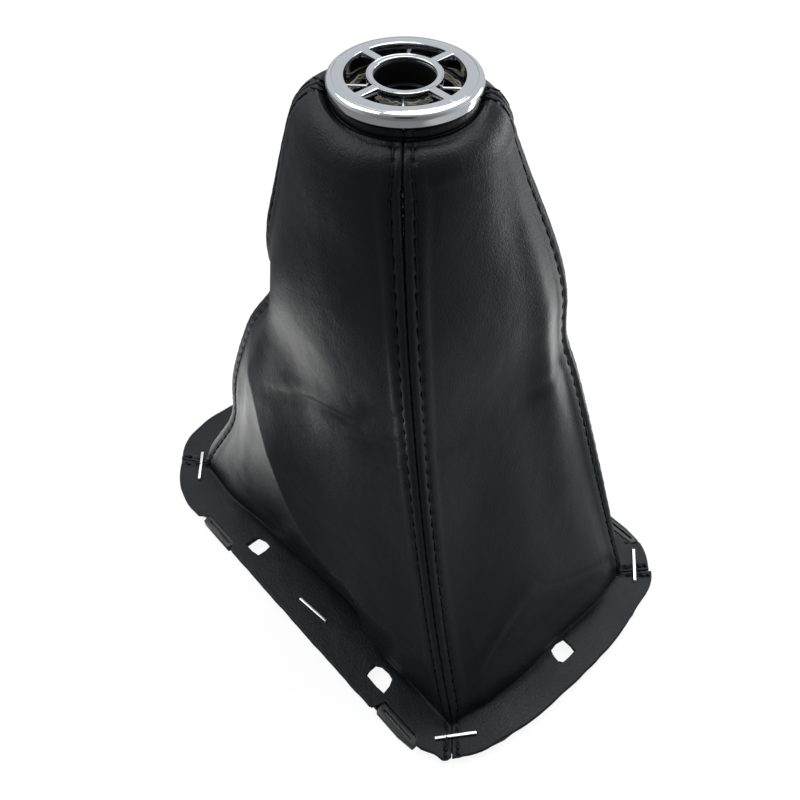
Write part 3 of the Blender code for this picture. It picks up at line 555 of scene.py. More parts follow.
def wall_row(name, start, end, drop, shares):
    a = seam_point(start, drop)
    b = seam_point(end, drop)
    first = math.atan2(a[1], a[0])
    last = first + (math.atan2(b[1], b[0]) - first) % (2 * math.pi)
    radii = mix(math.hypot(a[0], a[1]), math.hypot(b[0], b[1]), shares)
    ring = polar(mix(first, last, shares), radii, a[2])
    straight = a + (b - a) * shares[:, None]
    row = straight + (ring - straight) * float(along(ROUNDNESS, drop))
    across = unit(b - a)
    outward = np.array((across[1], -across[0], 0.0))
    row = row + outward * relief(name, shares, drop)[:, None]
    for seam, point in ((start, row[0]), (end, row[-1])):
        if seam in SEAM_SHIFTS:
            knots, way, reach = SEAM_SHIFTS[seam]
            shift = float(along(knots, drop)) * bump(np.linalg.norm(row - point, axis=1), 2 * reach)
            row = row + shift[:, None] * np.array((*way, 0.0))
    return slack_in(start, end, row, drop)


def base_row(name, station, shares):
    """One row of a panel's plain outer skin, as in the frame, at shares of the way across."""
    start, end = PANELS[name]
    kind, place, height, _ = station
    if kind == "wall":
        return wall_row(name, start, end, place, shares)
    if kind == "flange":
        foot = wall_row(name, start, end, 1.0, shares)
        edge = outline_row(start, shares)
        trim = sum(out * bump(shares - across, 2 * reach) for across, reach, out in EDGE_TRIMS[name])
        wave = [noise.noise(Vector((x / EDGE_WAVE_LENGTH, y / EDGE_WAVE_LENGTH, 0.0))) for x, y, _ in edge]
        straight = (BASE_LENGTH / 2 - BASE_CORNER, BASE_WIDTH / 2 - BASE_CORNER, 0.0)
        ahead = unit(edge - np.clip(edge, [-half for half in straight], straight))
        edge = edge + ahead * (trim + EDGE_WAVE * np.array(wave) - EDGE_WAVE)[:, None]
        if name in ("right_panel", "left_panel"):
            for low, high, left in NOTCHES:
                cut = smoothstep(low - NOTCH_RAMP, low + NOTCH_RAMP, edge[:, 0])
                cut = cut * smoothstep(high + NOTCH_RAMP, high - NOTCH_RAMP, edge[:, 0])
                edge[:, 1] -= np.sign(edge[:, 1]) * cut * np.maximum(np.abs(edge[:, 1]) - left, 0.0)
        return foot + (edge + (0.0, 0.0, FLANGE_TOP) - foot) * place
    first = math.radians(NECK_ANGLES[start])
    last = first + math.radians((NECK_ANGLES[end] - NECK_ANGLES[start]) % 360)
    row = polar(mix(first, last, shares), place, height)
    out = (place - GROOVE_RADIUS) / (WALL_RADIUS - GROOVE_RADIUS)
    if height < GROOVE_HEIGHT and out > 0:
        inner = (place - GROOVE_RADIUS) / (CREST_RADIUS - GROOVE_RADIUS)
        weight = min((height - WALL_TOP) / SHOULDER_HEIGHT, inner)
        lift = np.zeros(len(row))
        slope = np.zeros(len(row))
        for seam, foot in ((start, row[0]), (end, row[-1])):
            away = np.linalg.norm(row - foot, axis=1)
            rise, reach = SHOULDER_LIFTS[seam]
            lift = np.maximum(lift, rise * bump(away, reach))
            share, reach = SHOULDER_SLOPES[seam]
            slope = np.maximum(slope, share * bump(away, reach))
        if place > CREST_RADIUS:
            over = (place - CREST_RADIUS) / SHOULDER_WIDTH
            high = (height - WALL_TOP) / SHOULDER_HEIGHT
            drawn = mix(1.0, 1.0 / (over + high), slope)
            row *= ((CREST_RADIUS + SHOULDER_WIDTH * over * drawn) / place)[:, None]
            row[:, 2] = WALL_TOP + SHOULDER_HEIGHT * high * drawn
        row[:, 2] += lift * min(max(weight, 0.0), 1.0)
        row = slack_in(start, end, row, 0.0, out)
    return row


def smooth_rows(values, passes):
    """Evens out a value, or a row of points, along the rows."""
    for _ in range(passes):
        values[1:-1] = (values[:-2] + 2 * values[1:-1] + values[2:]) / 4
    return values


def seam_folds():
    """For each seam and row: the distance from the seam's line to the lip where a panel rolls in, the
    direction that the corner points, and how far the lips are pushed out to stand where the line is."""
    edges = {}
    for name, (start, end) in PANELS.items():
        lines = []
        for station in STATIONS:
            step = 0.004 / row_width(start, end, station)
            lines.append(base_row(name, station, np.array((0.0, step, 1 - step, 1.0))))
        grid = np.array(lines)
        down = np.gradient(grid, axis=0)
        first = unit(np.cross(down[:, 0], grid[:, 1] - grid[:, 0]))
        last = unit(np.cross(down[:, 3], grid[:, 3] - grid[:, 2]))
        edges[name] = (first, last)
    folds = []
    for seam in range(4):
        before = next(edges[name][1] for name, (_, end) in PANELS.items() if end == seam)
        after = next(edges[name][0] for name, (start, _) in PANELS.items() if start == seam)
        crease = unit(smooth_rows(unit(before + after), 12))
        turn = np.arccos(np.clip((before * after).sum(axis=1), -1, 1)) / 2
        turn = smooth_rows(np.minimum(turn, math.radians(55)), 12)
        lip = ROLL_RADII / np.tan((math.pi / 2 - turn) / 2) + LIP_GAP
        push = np.maximum(lip - LIP_GAP - ROLL_RADII - LIP_PROUD, 0.0)
        push += along(SEAM_TRIMS[seam], DROPS)
        folds.append((lip, crease, push))
    return folds


def columns(width, first_lip, last_lip, between):
    """Shares across a row: close together at the seams, wider apart between."""
    near = np.array(LIP_COLUMNS)
    left = (first_lip + near) / width
    right = 1 - (last_lip + near[::-1]) / width
    middle = np.linspace(left[-1], right[0], between + 2)[1:-1]
    return np.concatenate([left, middle, right])


def line_distance(across, down, knots):
    """How far each point is from a line of knots, and its share of the way along it."""
    best = np.full(across.shape, 1e9)
    share = np.zeros(across.shape)
    lengths = [math.dist(a, b) for a, b in zip(knots, knots[1:])]
    gone = 0.0
    for a, b, length in zip(knots, knots[1:], lengths):
        ahead = ((b[0] - a[0]) / length, (b[1] - a[1]) / length)
        t = np.clip((across - a[0]) * ahead[0] + (down - a[1]) * ahead[1], 0, length)
        distance = np.hypot(across - a[0] - t * ahead[0], down - a[1] - t * ahead[1])
        nearer = distance < best
        best = np.where(nearer, distance, best)
        share = np.where(nearer, (gone + t) / sum(lengths), share)
        gone += length
    return best, share


def creased(name, across, down, widths, places):
    """The depth of the panel's creases and folds over the whole grid."""
    depth = np.zeros(across.shape)
    wall = slice(WALL_START, FLANGE_START)
    for line, width, height in CREASES[name]:
        knots = []
        for share, drop in line:
            row_place = np.interp(drop, DROPS[wall], places[wall])
            knots.append(((share - 0.5) * np.interp(drop, DROPS[wall], widths[wall]), row_place))
        distance, share = line_distance(across, down, knots)
        fade = np.sqrt(np.clip(np.sin(math.pi * np.clip(share, 0.03, 0.97)), 0, 1))
        depth += height * fade * bump(distance, 2 * width)
    return depth


def waviness(points, size, seed):
    """Gentle unevenness of soft leather, from -1 to 1, over a grid of points."""
    flat = points.reshape(-1, 3) / size
    values = [noise.noise(Vector((x + seed, y, z))) for x, y, z in flat]
    return np.array(values).reshape(points.shape[:-1])


def grid_normals(points):
    down = np.gradient(points, axis=0)
    across = np.gradient(points, axis=1)
    return unit(np.cross(down, across))


def hole_places(line, pitch):
    """Where the needle went through along a stitched line: its lengths, and each point's way to a hole."""
    length = np.concatenate([[0.0], np.cumsum(np.linalg.norm(np.diff(line, axis=0), axis=1))])
    start = length[STITCH_START]
    nearest = np.round((length - start) / pitch) * pitch + start
    return length, np.abs(length - nearest)


def panel_surface(name, pitch):
    """A panel's outer skin as a grid of points, and its normals."""
    start, end = PANELS[name]
    folds = seam_folds()
    first_lip, first_crease, first_push = folds[start]
    last_lip, last_crease, last_push = folds[end]
    widths = np.array([row_width(start, end, station) for station in STATIONS])
    between = MIDDLE_COLUMNS[name]
    shares = np.array([columns(w, a, b, between) for w, a, b in zip(widths, first_lip, last_lip)])
    points = np.array([base_row(name, station, share) for station, share in zip(STATIONS, shares)])
    foot = slice(FLANGE_START - 4, FLANGE_START + 4)
    points[foot] = smooth_rows(points[foot].copy(), 3)
    from_first = shares * widths[:, None]
    from_last = (1 - shares) * widths[:, None]
    for crease, push, away in ((first_crease, first_push, from_first), (last_crease, last_push, from_last)):
        points += crease[:, None, :] * (push[:, None] * bump(away, 2 * LIP_REACH))[:, :, None]
    normals = grid_normals(points)
    count = points.shape[1]
    middle = points[:, count // 2]
    places = np.concatenate([[0.0], np.cumsum(np.linalg.norm(np.diff(middle, axis=0), axis=1))])
    across = (shares - 0.5) * widths[:, None]
    down = np.repeat(places[:, None], shares.shape[1], axis=1)
    lip_distance = np.minimum(from_first - first_lip[:, None], from_last - last_lip[:, None])
    stitch_way = LIP_COLUMNS[STITCH_COLUMN]
    allowance = LIP_COLUMNS[ALLOWANCE_COLUMN]
    wall_weight = FOLDED[:, None]
    depth = creased(name, across, down, widths, places) * smoothstep(0.0, 0.004, lip_distance)
    beside_stitch = lip_distance - stitch_way
    depth -= STITCH_VALLEY * bump(beside_stitch, 2 * STITCH_VALLEY_WIDTH)
    sewn = (np.arange(len(STATIONS)) >= STITCH_START) & (np.arange(len(STATIONS)) <= STITCH_END)
    halves = (slice(None, count // 2), slice(count // 2, None))
    for half, column in zip(halves, (STITCH_COLUMN, -1 - STITCH_COLUMN)):
        _, away = hole_places(points[:, column], pitch)
        hole = bump(away, 2 * STITCH_HOLE_WIDTH) * sewn
        depth[:, half] -= STITCH_HOLE * hole[:, None] * bump(beside_stitch[:, half], 2 * STITCH_HOLE_WIDTH)
    depth -= ALLOWANCE_STEP * smoothstep(allowance - 0.0008, allowance + 0.0010, lip_distance) * wall_weight
    seed = 7.0 * start
    depth += 0.00022 * waviness(points, 0.011, seed) * smoothstep(0.0, 0.006, lip_distance)
    depth += 0.00006 * waviness(points, 0.0034, seed + 3.0)
    points = points + normals * depth[:, :, None]
    return points, grid_normals(points)


SURFACES = {}


def surface(name):
    """Each panel's skin, worked out once, as the thread follows it too."""
    if name not in SURFACES:
        SURFACES[name] = panel_surface(name, bpy.context.scene.gaiter_sizes.stitch_pitch)
    return SURFACES[name]


def new_object(name, mesh, materials):
    thing = bpy.data.objects.new(name, mesh)
    bpy.context.scene.collection.objects.link(thing)
    for material in materials:
        mesh.materials.append(material)
    return thing


def mesh_from(name, shape, smooth=True):
    mesh = bpy.data.meshes.new(name)
    shape.to_mesh(mesh)
    shape.free()
    if smooth:
        mesh.shade_smooth()
    return mesh


def cloth_solid(name, points, normals):
    """A closed leather panel from its outer skin: edges rolled in and folded back beside the seams, and
    the flesh side behind. The grid's columns go once round the section."""
    count = points.shape[1]
    roll = ROLL_RADII[:, None, None]
    turns = np.linspace(0, math.pi, ROLL_STEPS + 1)[1:]
    loops = [points]
    half = points - normals * (LEATHER / 2)
    caps = [half.copy()]
    flesh_columns = list(range(ALLOWANCE_COLUMN, count - ALLOWANCE_COLUMN, 2))
    for c in range(ALLOWANCE_COLUMN + 1, count - ALLOWANCE_COLUMN - 1, 2):
        caps[0][:, c] = half[:, c - 1]
    sides = []
    for edge, inner in ((count - 1, -1), (0, 1)):
        tip = points[:, edge]
        up = normals[:, edge]
        inward = unit(points[:, edge + inner] - tip)
        centre = tip - up * ROLL_RADII[:, None]
        rolled = []
        for turn in turns:
            rolled.append(centre + (up * math.cos(turn) - inward * math.sin(turn)) * ROLL_RADII[:, None])
        flap_columns = [edge + inner * k for k in range(1, ALLOWANCE_COLUMN + 1)]
        flap = points[:, flap_columns] - normals[:, flap_columns] * (2 * roll)
        side = np.concatenate([np.stack(rolled, axis=1), flap], axis=1)
        edge_cap = np.repeat(half[:, [edge]], len(turns), axis=1)
        sides.append((side, np.concatenate([edge_cap, half[:, flap_columns]], axis=1)))
    flesh = points[:, flesh_columns[::-1]] - normals[:, flesh_columns[::-1]] * LEATHER
    loops += [sides[0][0], flesh, sides[1][0][:, ::-1], points[:, :1]]
    caps += [sides[0][1], half[:, flesh_columns[::-1]], sides[1][1][:, ::-1], half[:, :1]]
    grid = np.concatenate(loops, axis=1)
    cap = np.concatenate(caps, axis=1)
    grid = np.concatenate([cap[:1], grid, cap[-1:]], axis=0)
    rows, around = grid.shape[:2]
    shape = bmesh.new()
    bmesh.ops.create_grid(shape, x_segments=around - 1, y_segments=rows - 1, size=1.0)
    mesh = mesh_from(name, shape)
    mesh.vertices.foreach_set("co", grid.reshape(-1).astype(np.float32))
    parts = np.zeros((rows - 1, around - 1), np.int32)
    flesh_start = count + sides[0][0].shape[1] - 1
    parts[:, flesh_start : flesh_start + len(flesh_columns) + 1] = 1
    parts[0, :] = 2
    parts[-1, :] = 2
    mesh.polygons.foreach_set("material_index", parts.reshape(-1))
    shape = bmesh.new()
    shape.from_mesh(mesh)
    bmesh.ops.remove_doubles(shape, verts=shape.verts, dist=0.000002)
    bmesh.ops.recalc_face_normals(shape, faces=shape.faces)
    shape.to_mesh(mesh)
    shape.free()
    mesh.shade_smooth()
    return mesh


def punch(shape, place, corners):
    """Cuts a straight-sided hole down through the flange and closes its sides."""
    middle = Vector((*place, 0.0))
    ring = [middle + Vector((x / 1000, y / 1000, 0.0)) for x, y in corners]

    def is_near(point):
        return (point - middle).to_2d().length < HOLE_REACH and point.z < 2 * FLANGE_TOP

    def is_inside(point):
        for a, b in zip(ring, ring[1:] + ring[:1]):
            across = Vector((b.y - a.y, a.x - b.x))
            if across.dot((point - a).to_2d()) * across.dot((middle - a).to_2d()) < 0:
                return False
        return True

    near = [face for face in shape.faces if is_near(face.calc_center_median())]
    edges = {edge for face in near for edge in face.edges}
    verts = {vert for face in near for vert in face.verts}
    geom = [*near, *edges, *verts]
    for a, b in zip(ring, ring[1:] + ring[:1]):
        across = Vector((b.y - a.y, a.x - b.x, 0.0))
        geom = bmesh.ops.bisect_plane(shape, geom=geom, plane_co=a, plane_no=across, dist=0.0000001)["geom"]
    faces = [item for item in geom if isinstance(item, bmesh.types.BMFace)]
    gone = [face for face in faces if is_inside(face.calc_center_median())]
    bmesh.ops.delete(shape, geom=gone, context="FACES")
    rim = [edge for edge in shape.edges if edge.is_boundary and is_near(edge.verts[0].co)]
    for face in bmesh.ops.bridge_loops(shape, edges=rim)["faces"]:
        face.material_index = 2
        face.smooth = False


def add_loop(shape, points):
    """A closed loop of edges through the points."""
    ring = bmesh.ops.create_circle(shape, segments=len(points), radius=1.0)["verts"]
    for vert, place in zip(ring, points):
        vert.co = place
    return list({edge for vert in ring for edge in vert.link_edges})


def rounded(corners, steps=5):
    """A closed outline from corners of (x, y, rounding)."""
    points = []
    for k, (x, y, radius) in enumerate(corners):
        if not radius:
            points.append((x, y))
            continue
        here = Vector((x, y))
        before = (Vector(corners[k - 1][:2]) - here).normalized()
        after = (Vector(corners[(k + 1) % len(corners)][:2]) - here).normalized()
        half = before.angle(after) / 2
        centre = here + (before + after).normalized() * radius / math.sin(half)
        first = here + before * radius / math.tan(half) - centre
        last = here + after * radius / math.tan(half) - centre
        start = math.atan2(first.y, first.x)
        sweep = (math.atan2(last.y, last.x) - start + math.pi) % (2 * math.pi) - math.pi
        for step in range(steps + 1):
            angle = start + sweep * step / steps
            points.append((centre.x + radius * math.cos(angle), centre.y + radius * math.sin(angle)))
    return points


def turned(shape, profile, steps):
    """Adds a turned body from a closed profile of (radius, height)."""
    edges = add_loop(shape, [(radius, 0.0, height) for radius, height in profile])
    verts = list({vert for edge in edges for vert in edge.verts})
    bmesh.ops.spin(
        shape,
        geom=verts + edges,
        cent=(0, 0, 0),
        axis=(0, 0, 1),
        angle=2 * math.pi,
        steps=steps,
        use_merge=True,
        use_duplicate=False,
    )


def extruded(shape, loops, lift, rim, segments, flat_sides=True):
    """Adds a flat plate: outlines, the later ones holes, pushed along lift, with a rim bevel."""
    edges = [edge for loop in loops for edge in add_loop(shape, loop)]
    if len(loops) == 1:
        top = bmesh.ops.contextual_create(shape, geom=edges)["faces"]
    else:
        filled = bmesh.ops.triangle_fill(shape, edges=edges, use_beauty=True)["geom"]
        top = [item for item in filled if isinstance(item, bmesh.types.BMFace)]
    outline = set(edges)
    pushed = bmesh.ops.extrude_face_region(shape, geom=top)["geom"]
    far = [item for item in pushed if isinstance(item, bmesh.types.BMVert)]
    bmesh.ops.translate(shape, vec=Vector(lift), verts=far)
    if not flat_sides:
        ends = set(far)
        outline |= {
            edge
            for vert in far
            for edge in vert.link_edges
            if edge.other_vert(vert) in ends and edge.calc_face_angle(0.0) > math.radians(60)
        }
    bmesh.ops.bevel(
        shape,
        geom=[edge for edge in outline if edge.is_valid],
        offset=rim,
        offset_type="OFFSET",
        segments=segments,
        profile=0.5,
        affect="EDGES",
        clamp_overlap=True,
        material=-1,
    )


def finished(name, shape, sharp=40.0):
    """A mesh with faces that look outwards, flat where they lie level."""
    bmesh.ops.remove_doubles(shape, verts=shape.verts, dist=0.000001)
    bmesh.ops.recalc_face_normals(shape, faces=shape.faces)
    for face in shape.faces:
        face.smooth = abs(face.normal.z) < 0.9995
    mesh = mesh_from(name, shape, smooth=False)
    mesh.set_sharp_from_angle(angle=math.radians(sharp))
    return mesh


def add_tube(shape, path, radius, sides, closed=False):
    """Adds a round strand along a path."""
    path = np.array(path, float)
    if closed:
        ahead = unit(np.roll(path, -1, axis=0) - np.roll(path, 1, axis=0))
    else:
        ahead = unit(np.gradient(path, axis=0))
    side = unit(np.cross(ahead, (0.0, 0.0, 1.0)))
    up = np.cross(side, ahead)
    turns = np.linspace(0, 2 * math.pi, sides + 1)
    thick = np.full(len(path), radius)
    if not closed:
        thick[0] = thick[-1] = 0.0
    around = side[:, None] * np.cos(turns)[None, :, None] + up[:, None] * np.sin(turns)[None, :, None]
    rings = path[:, None] + around * thick[:, None, None]
    if closed:
        rings = np.concatenate([rings, rings[:1]])
    verts = bmesh.ops.create_grid(shape, x_segments=sides, y_segments=len(rings) - 1, size=1.0)["verts"]
    for vert, place in zip(verts, rings.reshape(-1, 3)):
        vert.co = place
    bmesh.ops.remove_doubles(shape, verts=verts, dist=0.000002)


def add_stitch(shape, place, ahead, length, width):
    """Adds one short stitch: a stretched ball, its ends sunk in the leather."""
    turn = Vector(ahead).to_track_quat("Z", "X").to_matrix().to_4x4()
    stretch = Matrix.Diagonal((width / 2, width / 2, length / 2, 1.0))
    matrix = Matrix.Translation(Vector(place)) @ turn @ stretch
    bmesh.ops.create_uvsphere(shape, u_segments=6, v_segments=5, radius=1.0, matrix=matrix)


# Staples' places, as in the frame.
def staple_places():
    places = []
    for seam, (inset, aside, skew) in enumerate(CORNER_STAPLES):
        corner = inside_corner(seam, BASE_CORNER, BASE_CORNER)
        centre = corner + polar(diagonal(seam) + math.radians(aside), BASE_CORNER - inset)
        places.append((centre, diagonal(seam) + math.radians(90 + skew)))
    for side in (-1, 1):
        centre = np.array((PATTERN_SHIFT, side * (BASE_WIDTH / 2 - SIDE_STAPLE_INSET), 0.0))
        places.append((centre, math.radians(SIDE_STAPLE_SKEW)))
    return places


# Materials.
def set_inputs(tree, node, inputs):
    """Gives each input its value, or links it from a socket."""
    for key, value in inputs.items():
        if isinstance(value, bpy.types.NodeSocket):
            tree.links.new(value, node.inputs[key])
        else:
            node.inputs[key].default_value = value


def add_node(tree, kind, settings=None, inputs=None):
    """Adds a node with its settings. An input is a value, or a socket to link from."""
    node = tree.nodes.new(kind)
    for key, value in (settings or {}).items():
        setattr(node, key, value)
    set_inputs(tree, node, inputs or {})
    return node


def grain(tree, place, size, detail):
    """Noise with features of a size in metres."""
    inputs = {"Vector": place, "Scale": 1 / size, "Detail": detail}
    return add_node(tree, "ShaderNodeTexNoise", None, inputs).outputs["Fac"]


def ranged(tree, value, reach, levels, smooth=False):
    """A value that runs over reach, as one that runs over levels."""
    settings = {"interpolation_type": "SMOOTHSTEP"} if smooth else None
    inputs = {"Value": value, "From Min": reach[0], "From Max": reach[1]}
    inputs.update({"To Min": levels[0], "To Max": levels[1]})
    return add_node(tree, "ShaderNodeMapRange", settings, inputs).outputs[0]


def raised(tree, height, strength, distance, normal=None):
    """The normal of a surface raised by a height."""
    inputs = {"Height": height, "Strength": strength, "Distance": distance}
    if normal is not None:
        inputs["Normal"] = normal
    return add_node(tree, "ShaderNodeBump", None, inputs).outputs["Normal"]


def mixed(tree, share, first, second):
    """Two colours, or two values, mixed by a share."""
    if isinstance(second, tuple):
        node = add_node(tree, "ShaderNodeMix", {"data_type": "RGBA"}, {0: share, 6: first, 7: second})
        return node.outputs[2]
    return add_node(tree, "ShaderNodeMix", {"data_type": "FLOAT"}, {0: share, 2: first, 3: second}).outputs[0]


def tinted(tree, share, colour, dark, light):
    """A colour that varies between a darker and a lighter one."""
    return mixed(tree, share, (*[c * dark for c in colour], 1.0), (*[c * light for c in colour], 1.0))


def reckoned(tree, operation, first, second, clamp=False):
    """Two values added, multiplied or compared."""
    settings = {"operation": operation, "use_clamp": clamp}
    return add_node(tree, "ShaderNodeMath", settings, {0: first, 1: second}).outputs[0]


def towards(tree, place, way):
    """How far a place lies along a way."""
    node = add_node(tree, "ShaderNodeVectorMath", {"operation": "DOT_PRODUCT"}, {0: place, 1: way})
    return node.outputs["Value"]


def new_material(name):
    material = bpy.data.materials.new(name)
    material.use_nodes = True
    tree = material.node_tree
    shader = tree.nodes["Principled BSDF"]
    place = add_node(tree, "ShaderNodeTexCoord").outputs["Object"]
    return material, tree, shader, place


def full_grain_leather(colour):
    """Black chrome-tanned cowhide with a pigmented, rolled finish: a pebble grain, satin sheen."""
    material, tree, shader, place = new_material("full_grain_leather")
    # Pebbles are about 0.5 mm on the hide and are drawn at 1.1 mm, so that they show.
    pebble = add_node(
        tree,
        "ShaderNodeTexVoronoi",
        {"feature": "DISTANCE_TO_EDGE"},
        {"Vector": place, "Scale": 1 / 0.0011, "Randomness": 1.0},
    )
    valley = ranged(tree, pebble.outputs["Distance"], (0.0, 0.16), (0.0, 1.0), True)
    pores = grain(tree, place, 0.0007, 3.0)
    cloud = grain(tree, place, 0.022, 4.0)
    inputs = {
        "Base Color": tinted(tree, cloud, colour, 0.72, 1.28),
        "Roughness": ranged(tree, cloud, (0.3, 0.7), (0.37, 0.47)),
        "Normal": raised(tree, pores, 0.30, 0.00018, raised(tree, valley, 0.22, 0.00012)),
        "Specular IOR Level": 0.22,
    }
    set_inputs(tree, shader, inputs)
    return material


def fibrous_leather(name, colour, size, detail, tints, nap, roughness):
    """Hide where its grain side doesn't show: matt and fibrous."""
    material, tree, shader, place = new_material(name)
    fibres = grain(tree, place, size, detail)
    inputs = {
        "Base Color": tinted(tree, fibres, colour, *tints),
        "Normal": raised(tree, fibres, nap, 0.0003),
        "Roughness": roughness,
    }
    set_inputs(tree, shader, inputs)
    return material


def flesh_side_leather(colour):
    """The split back of the hide: matt, fibrous and dull."""
    return fibrous_leather("flesh_side_leather", colour, 0.0012, 5.0, (0.6, 1.3), 0.5, 0.9)


def cut_leather_edge(colour):
    """The knife-cut edge of the hide: rough, with loose fibres, dyed nearly through."""
    return fibrous_leather("cut_leather_edge", colour, 0.0006, 4.0, (0.5, 1.6), 0.6, 0.82)


def bonded_nylon_thread(colour):
    """Bonded nylon sewing thread: a smooth, slightly waxy filament with a twist."""
    material, tree, shader, place = new_material("bonded_nylon_thread")
    twist = add_node(
        tree,
        "ShaderNodeTexWave",
        {"bands_direction": "DIAGONAL"},
        {"Vector": place, "Scale": 0.5 / 0.0006, "Distortion": 1.0},
    )
    inputs = {
        "Normal": raised(tree, twist.outputs["Fac"], 0.4, 0.0001),
        "Base Color": (*colour, 1.0),
        "Roughness": 0.55,
        "Specular IOR Level": 0.22,
    }
    set_inputs(tree, shader, inputs)
    return material


def chrome_plate(colour):
    """Bright nickel-chrome plate on moulded ABS: a mirror with the faint ripple of the moulding."""
    material, tree, shader, place = new_material("chrome_plated_abs")
    ripple = grain(tree, place, 0.004, 1.0)
    inputs = {
        "Roughness": ranged(tree, grain(tree, place, 0.0016, 4.0), (0.4, 0.75), (0.06, 0.16)),
        "Normal": raised(tree, ripple, 0.12, 0.0003),
        "Base Color": (*colour, 1.0),
        "Metallic": 1.0,
    }
    set_inputs(tree, shader, inputs)
    return material


def moulded_abs(name, colour, roughness, size=0.0009):
    """Black ABS from an etched mould: fine texture, soft shine. Where it was trimmed hot it is lumpy."""
    material, tree, shader, place = new_material(name)
    etch = grain(tree, place, size, 3.0)
    inputs = {
        "Normal": raised(tree, etch, 0.25, 0.22 * size),
        "Roughness": ranged(tree, etch, (0.0, 1.0), (roughness - 0.08, roughness + 0.10)),
        "Base Color": (*colour, 1.0),
    }
    set_inputs(tree, shader, inputs)
    return material


def galvanised_wire(colour):
    """Drawn staple wire with a zinc coat: silvery, with fine lines from the die."""
    material, tree, shader, place = new_material("galvanised_steel_wire")
    lines = grain(tree, place, 0.0005, 3.0)
    inputs = {
        "Roughness": ranged(tree, lines, (0.0, 1.0), (0.22, 0.42)),
        "Base Color": (*colour, 1.0),
        "Metallic": 1.0,
    }
    set_inputs(tree, shader, inputs)
    return material


MATERIALS = {}


def material(key):
    """Each material, made once from the colours in the panel."""
    colours = bpy.context.scene.gaiter_colours
    makers = {
        "leather": full_grain_leather,
        "flesh": flesh_side_leather,
        "cut_edge": cut_leather_edge,
        "thread": bonded_nylon_thread,
        "chrome": chrome_plate,
        "plastic": lambda colour: moulded_abs("moulded_black_abs", colour, 0.38),
        "wire": galvanised_wire,
        "glazed": lambda colour: moulded_abs("trimmed_black_abs", colour, 0.40, 0.0016),
        "hem_yarn": bonded_nylon_thread,
    }
    if key not in MATERIALS:
        colour = getattr(colours, "plastic" if key == "glazed" else key)
        MATERIALS[key] = makers[key](tuple(colour))
    return MATERIALS[key]


class GaiterSizes(bpy.types.PropertyGroup):
    stitch_pitch: FloatProperty(
        name="Stitch Pitch",
        description="Distance from one topstitch to the next",
        default=0.0041,
        unit="LENGTH",
    )
    thread_width: FloatProperty(
        name="Thread Width",
        description="Diameter of the sewing thread",
        default=0.0006,
        unit="LENGTH",
    )
    window_rim: FloatProperty(
        name="Window Rim",
        description="Rounding of the collar's window edges",
        default=0.00014,
        unit="LENGTH",
    )
    frame_rounding: FloatProperty(
        name="Frame Rounding",
        description="Rounding of the base frame's edges",
        default=0.00018,
        unit="LENGTH",
    )
    hem_strand: FloatProperty(
        name="Hem Strand",
        description="Width of the yarns at the leather's raw edge in the neck",
        default=0.00045,
        unit="LENGTH",
    )


class GaiterColours(bpy.types.PropertyGroup):
    leather: FloatVectorProperty(
        name="Leather", description="Grain side of the hide", subtype="COLOR", default=linear("#0d1217")
    )
    flesh: FloatVectorProperty(
        name="Flesh Side", description="Back of the hide", subtype="COLOR", default=linear("#4a443c")
    )
    cut_edge: FloatVectorProperty(
        name="Cut Edge", description="Knife-cut edge of the hide", subtype="COLOR", default=linear("#26282a")
    )
    thread: FloatVectorProperty(
        name="Thread", description="Sewing thread", subtype="COLOR", default=linear("#060708")
    )
    chrome: FloatVectorProperty(
        name="Chrome", description="Plated collar", subtype="COLOR", default=linear("#c6c9cd")
    )
    plastic: FloatVectorProperty(
        name="Plastic",
        description="Base frame, bore sleeve and hoop",
        subtype="COLOR",
        default=linear("#0e0f10"),
    )
    wire: FloatVectorProperty(
        name="Staple Wire", description="Zinc-coated wire", subtype="COLOR", default=linear("#dfe1e2")
    )
    hem_yarn: FloatVectorProperty(
        name="Hem Yarn",
        description="Yarn at the raw edge in the neck",
        subtype="COLOR",
        default=linear("#b3ac9c"),
    )


def add_piece(name, mesh, keys, slot, *nodes):
    """Puts a finished mesh in the scene, in place of its CAD nodes."""
    piece = new_object(name, mesh, [material(key) for key in keys])
    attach(piece, "root")
    if nodes:
        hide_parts(*nodes)
    return piece


class GAITER_OT_leather(bpy.types.Operator):
    """Make the four leather panels"""

    bl_idname = "gaiter.leather"
    bl_label = "Leather Panels"

    def execute(self, context):
        for name, (start, end) in PANELS.items():
            points, normals = surface(name)
            mesh = cloth_solid(name + "_leather", points, normals)
            shape = bmesh.new()
            shape.from_mesh(mesh)
            for side, place, corners in CLIP_HOLES:
                if side == name:
                    punch(shape, place, corners)
            bmesh.ops.recalc_face_normals(shape, faces=shape.faces)
            shape.to_mesh(mesh)
            shape.free()
            hide = ("leather", "flesh", "cut_edge")
            panel = add_piece(name + "_leather", mesh, hide, "black_leather", name)
        return {"FINISHED"}


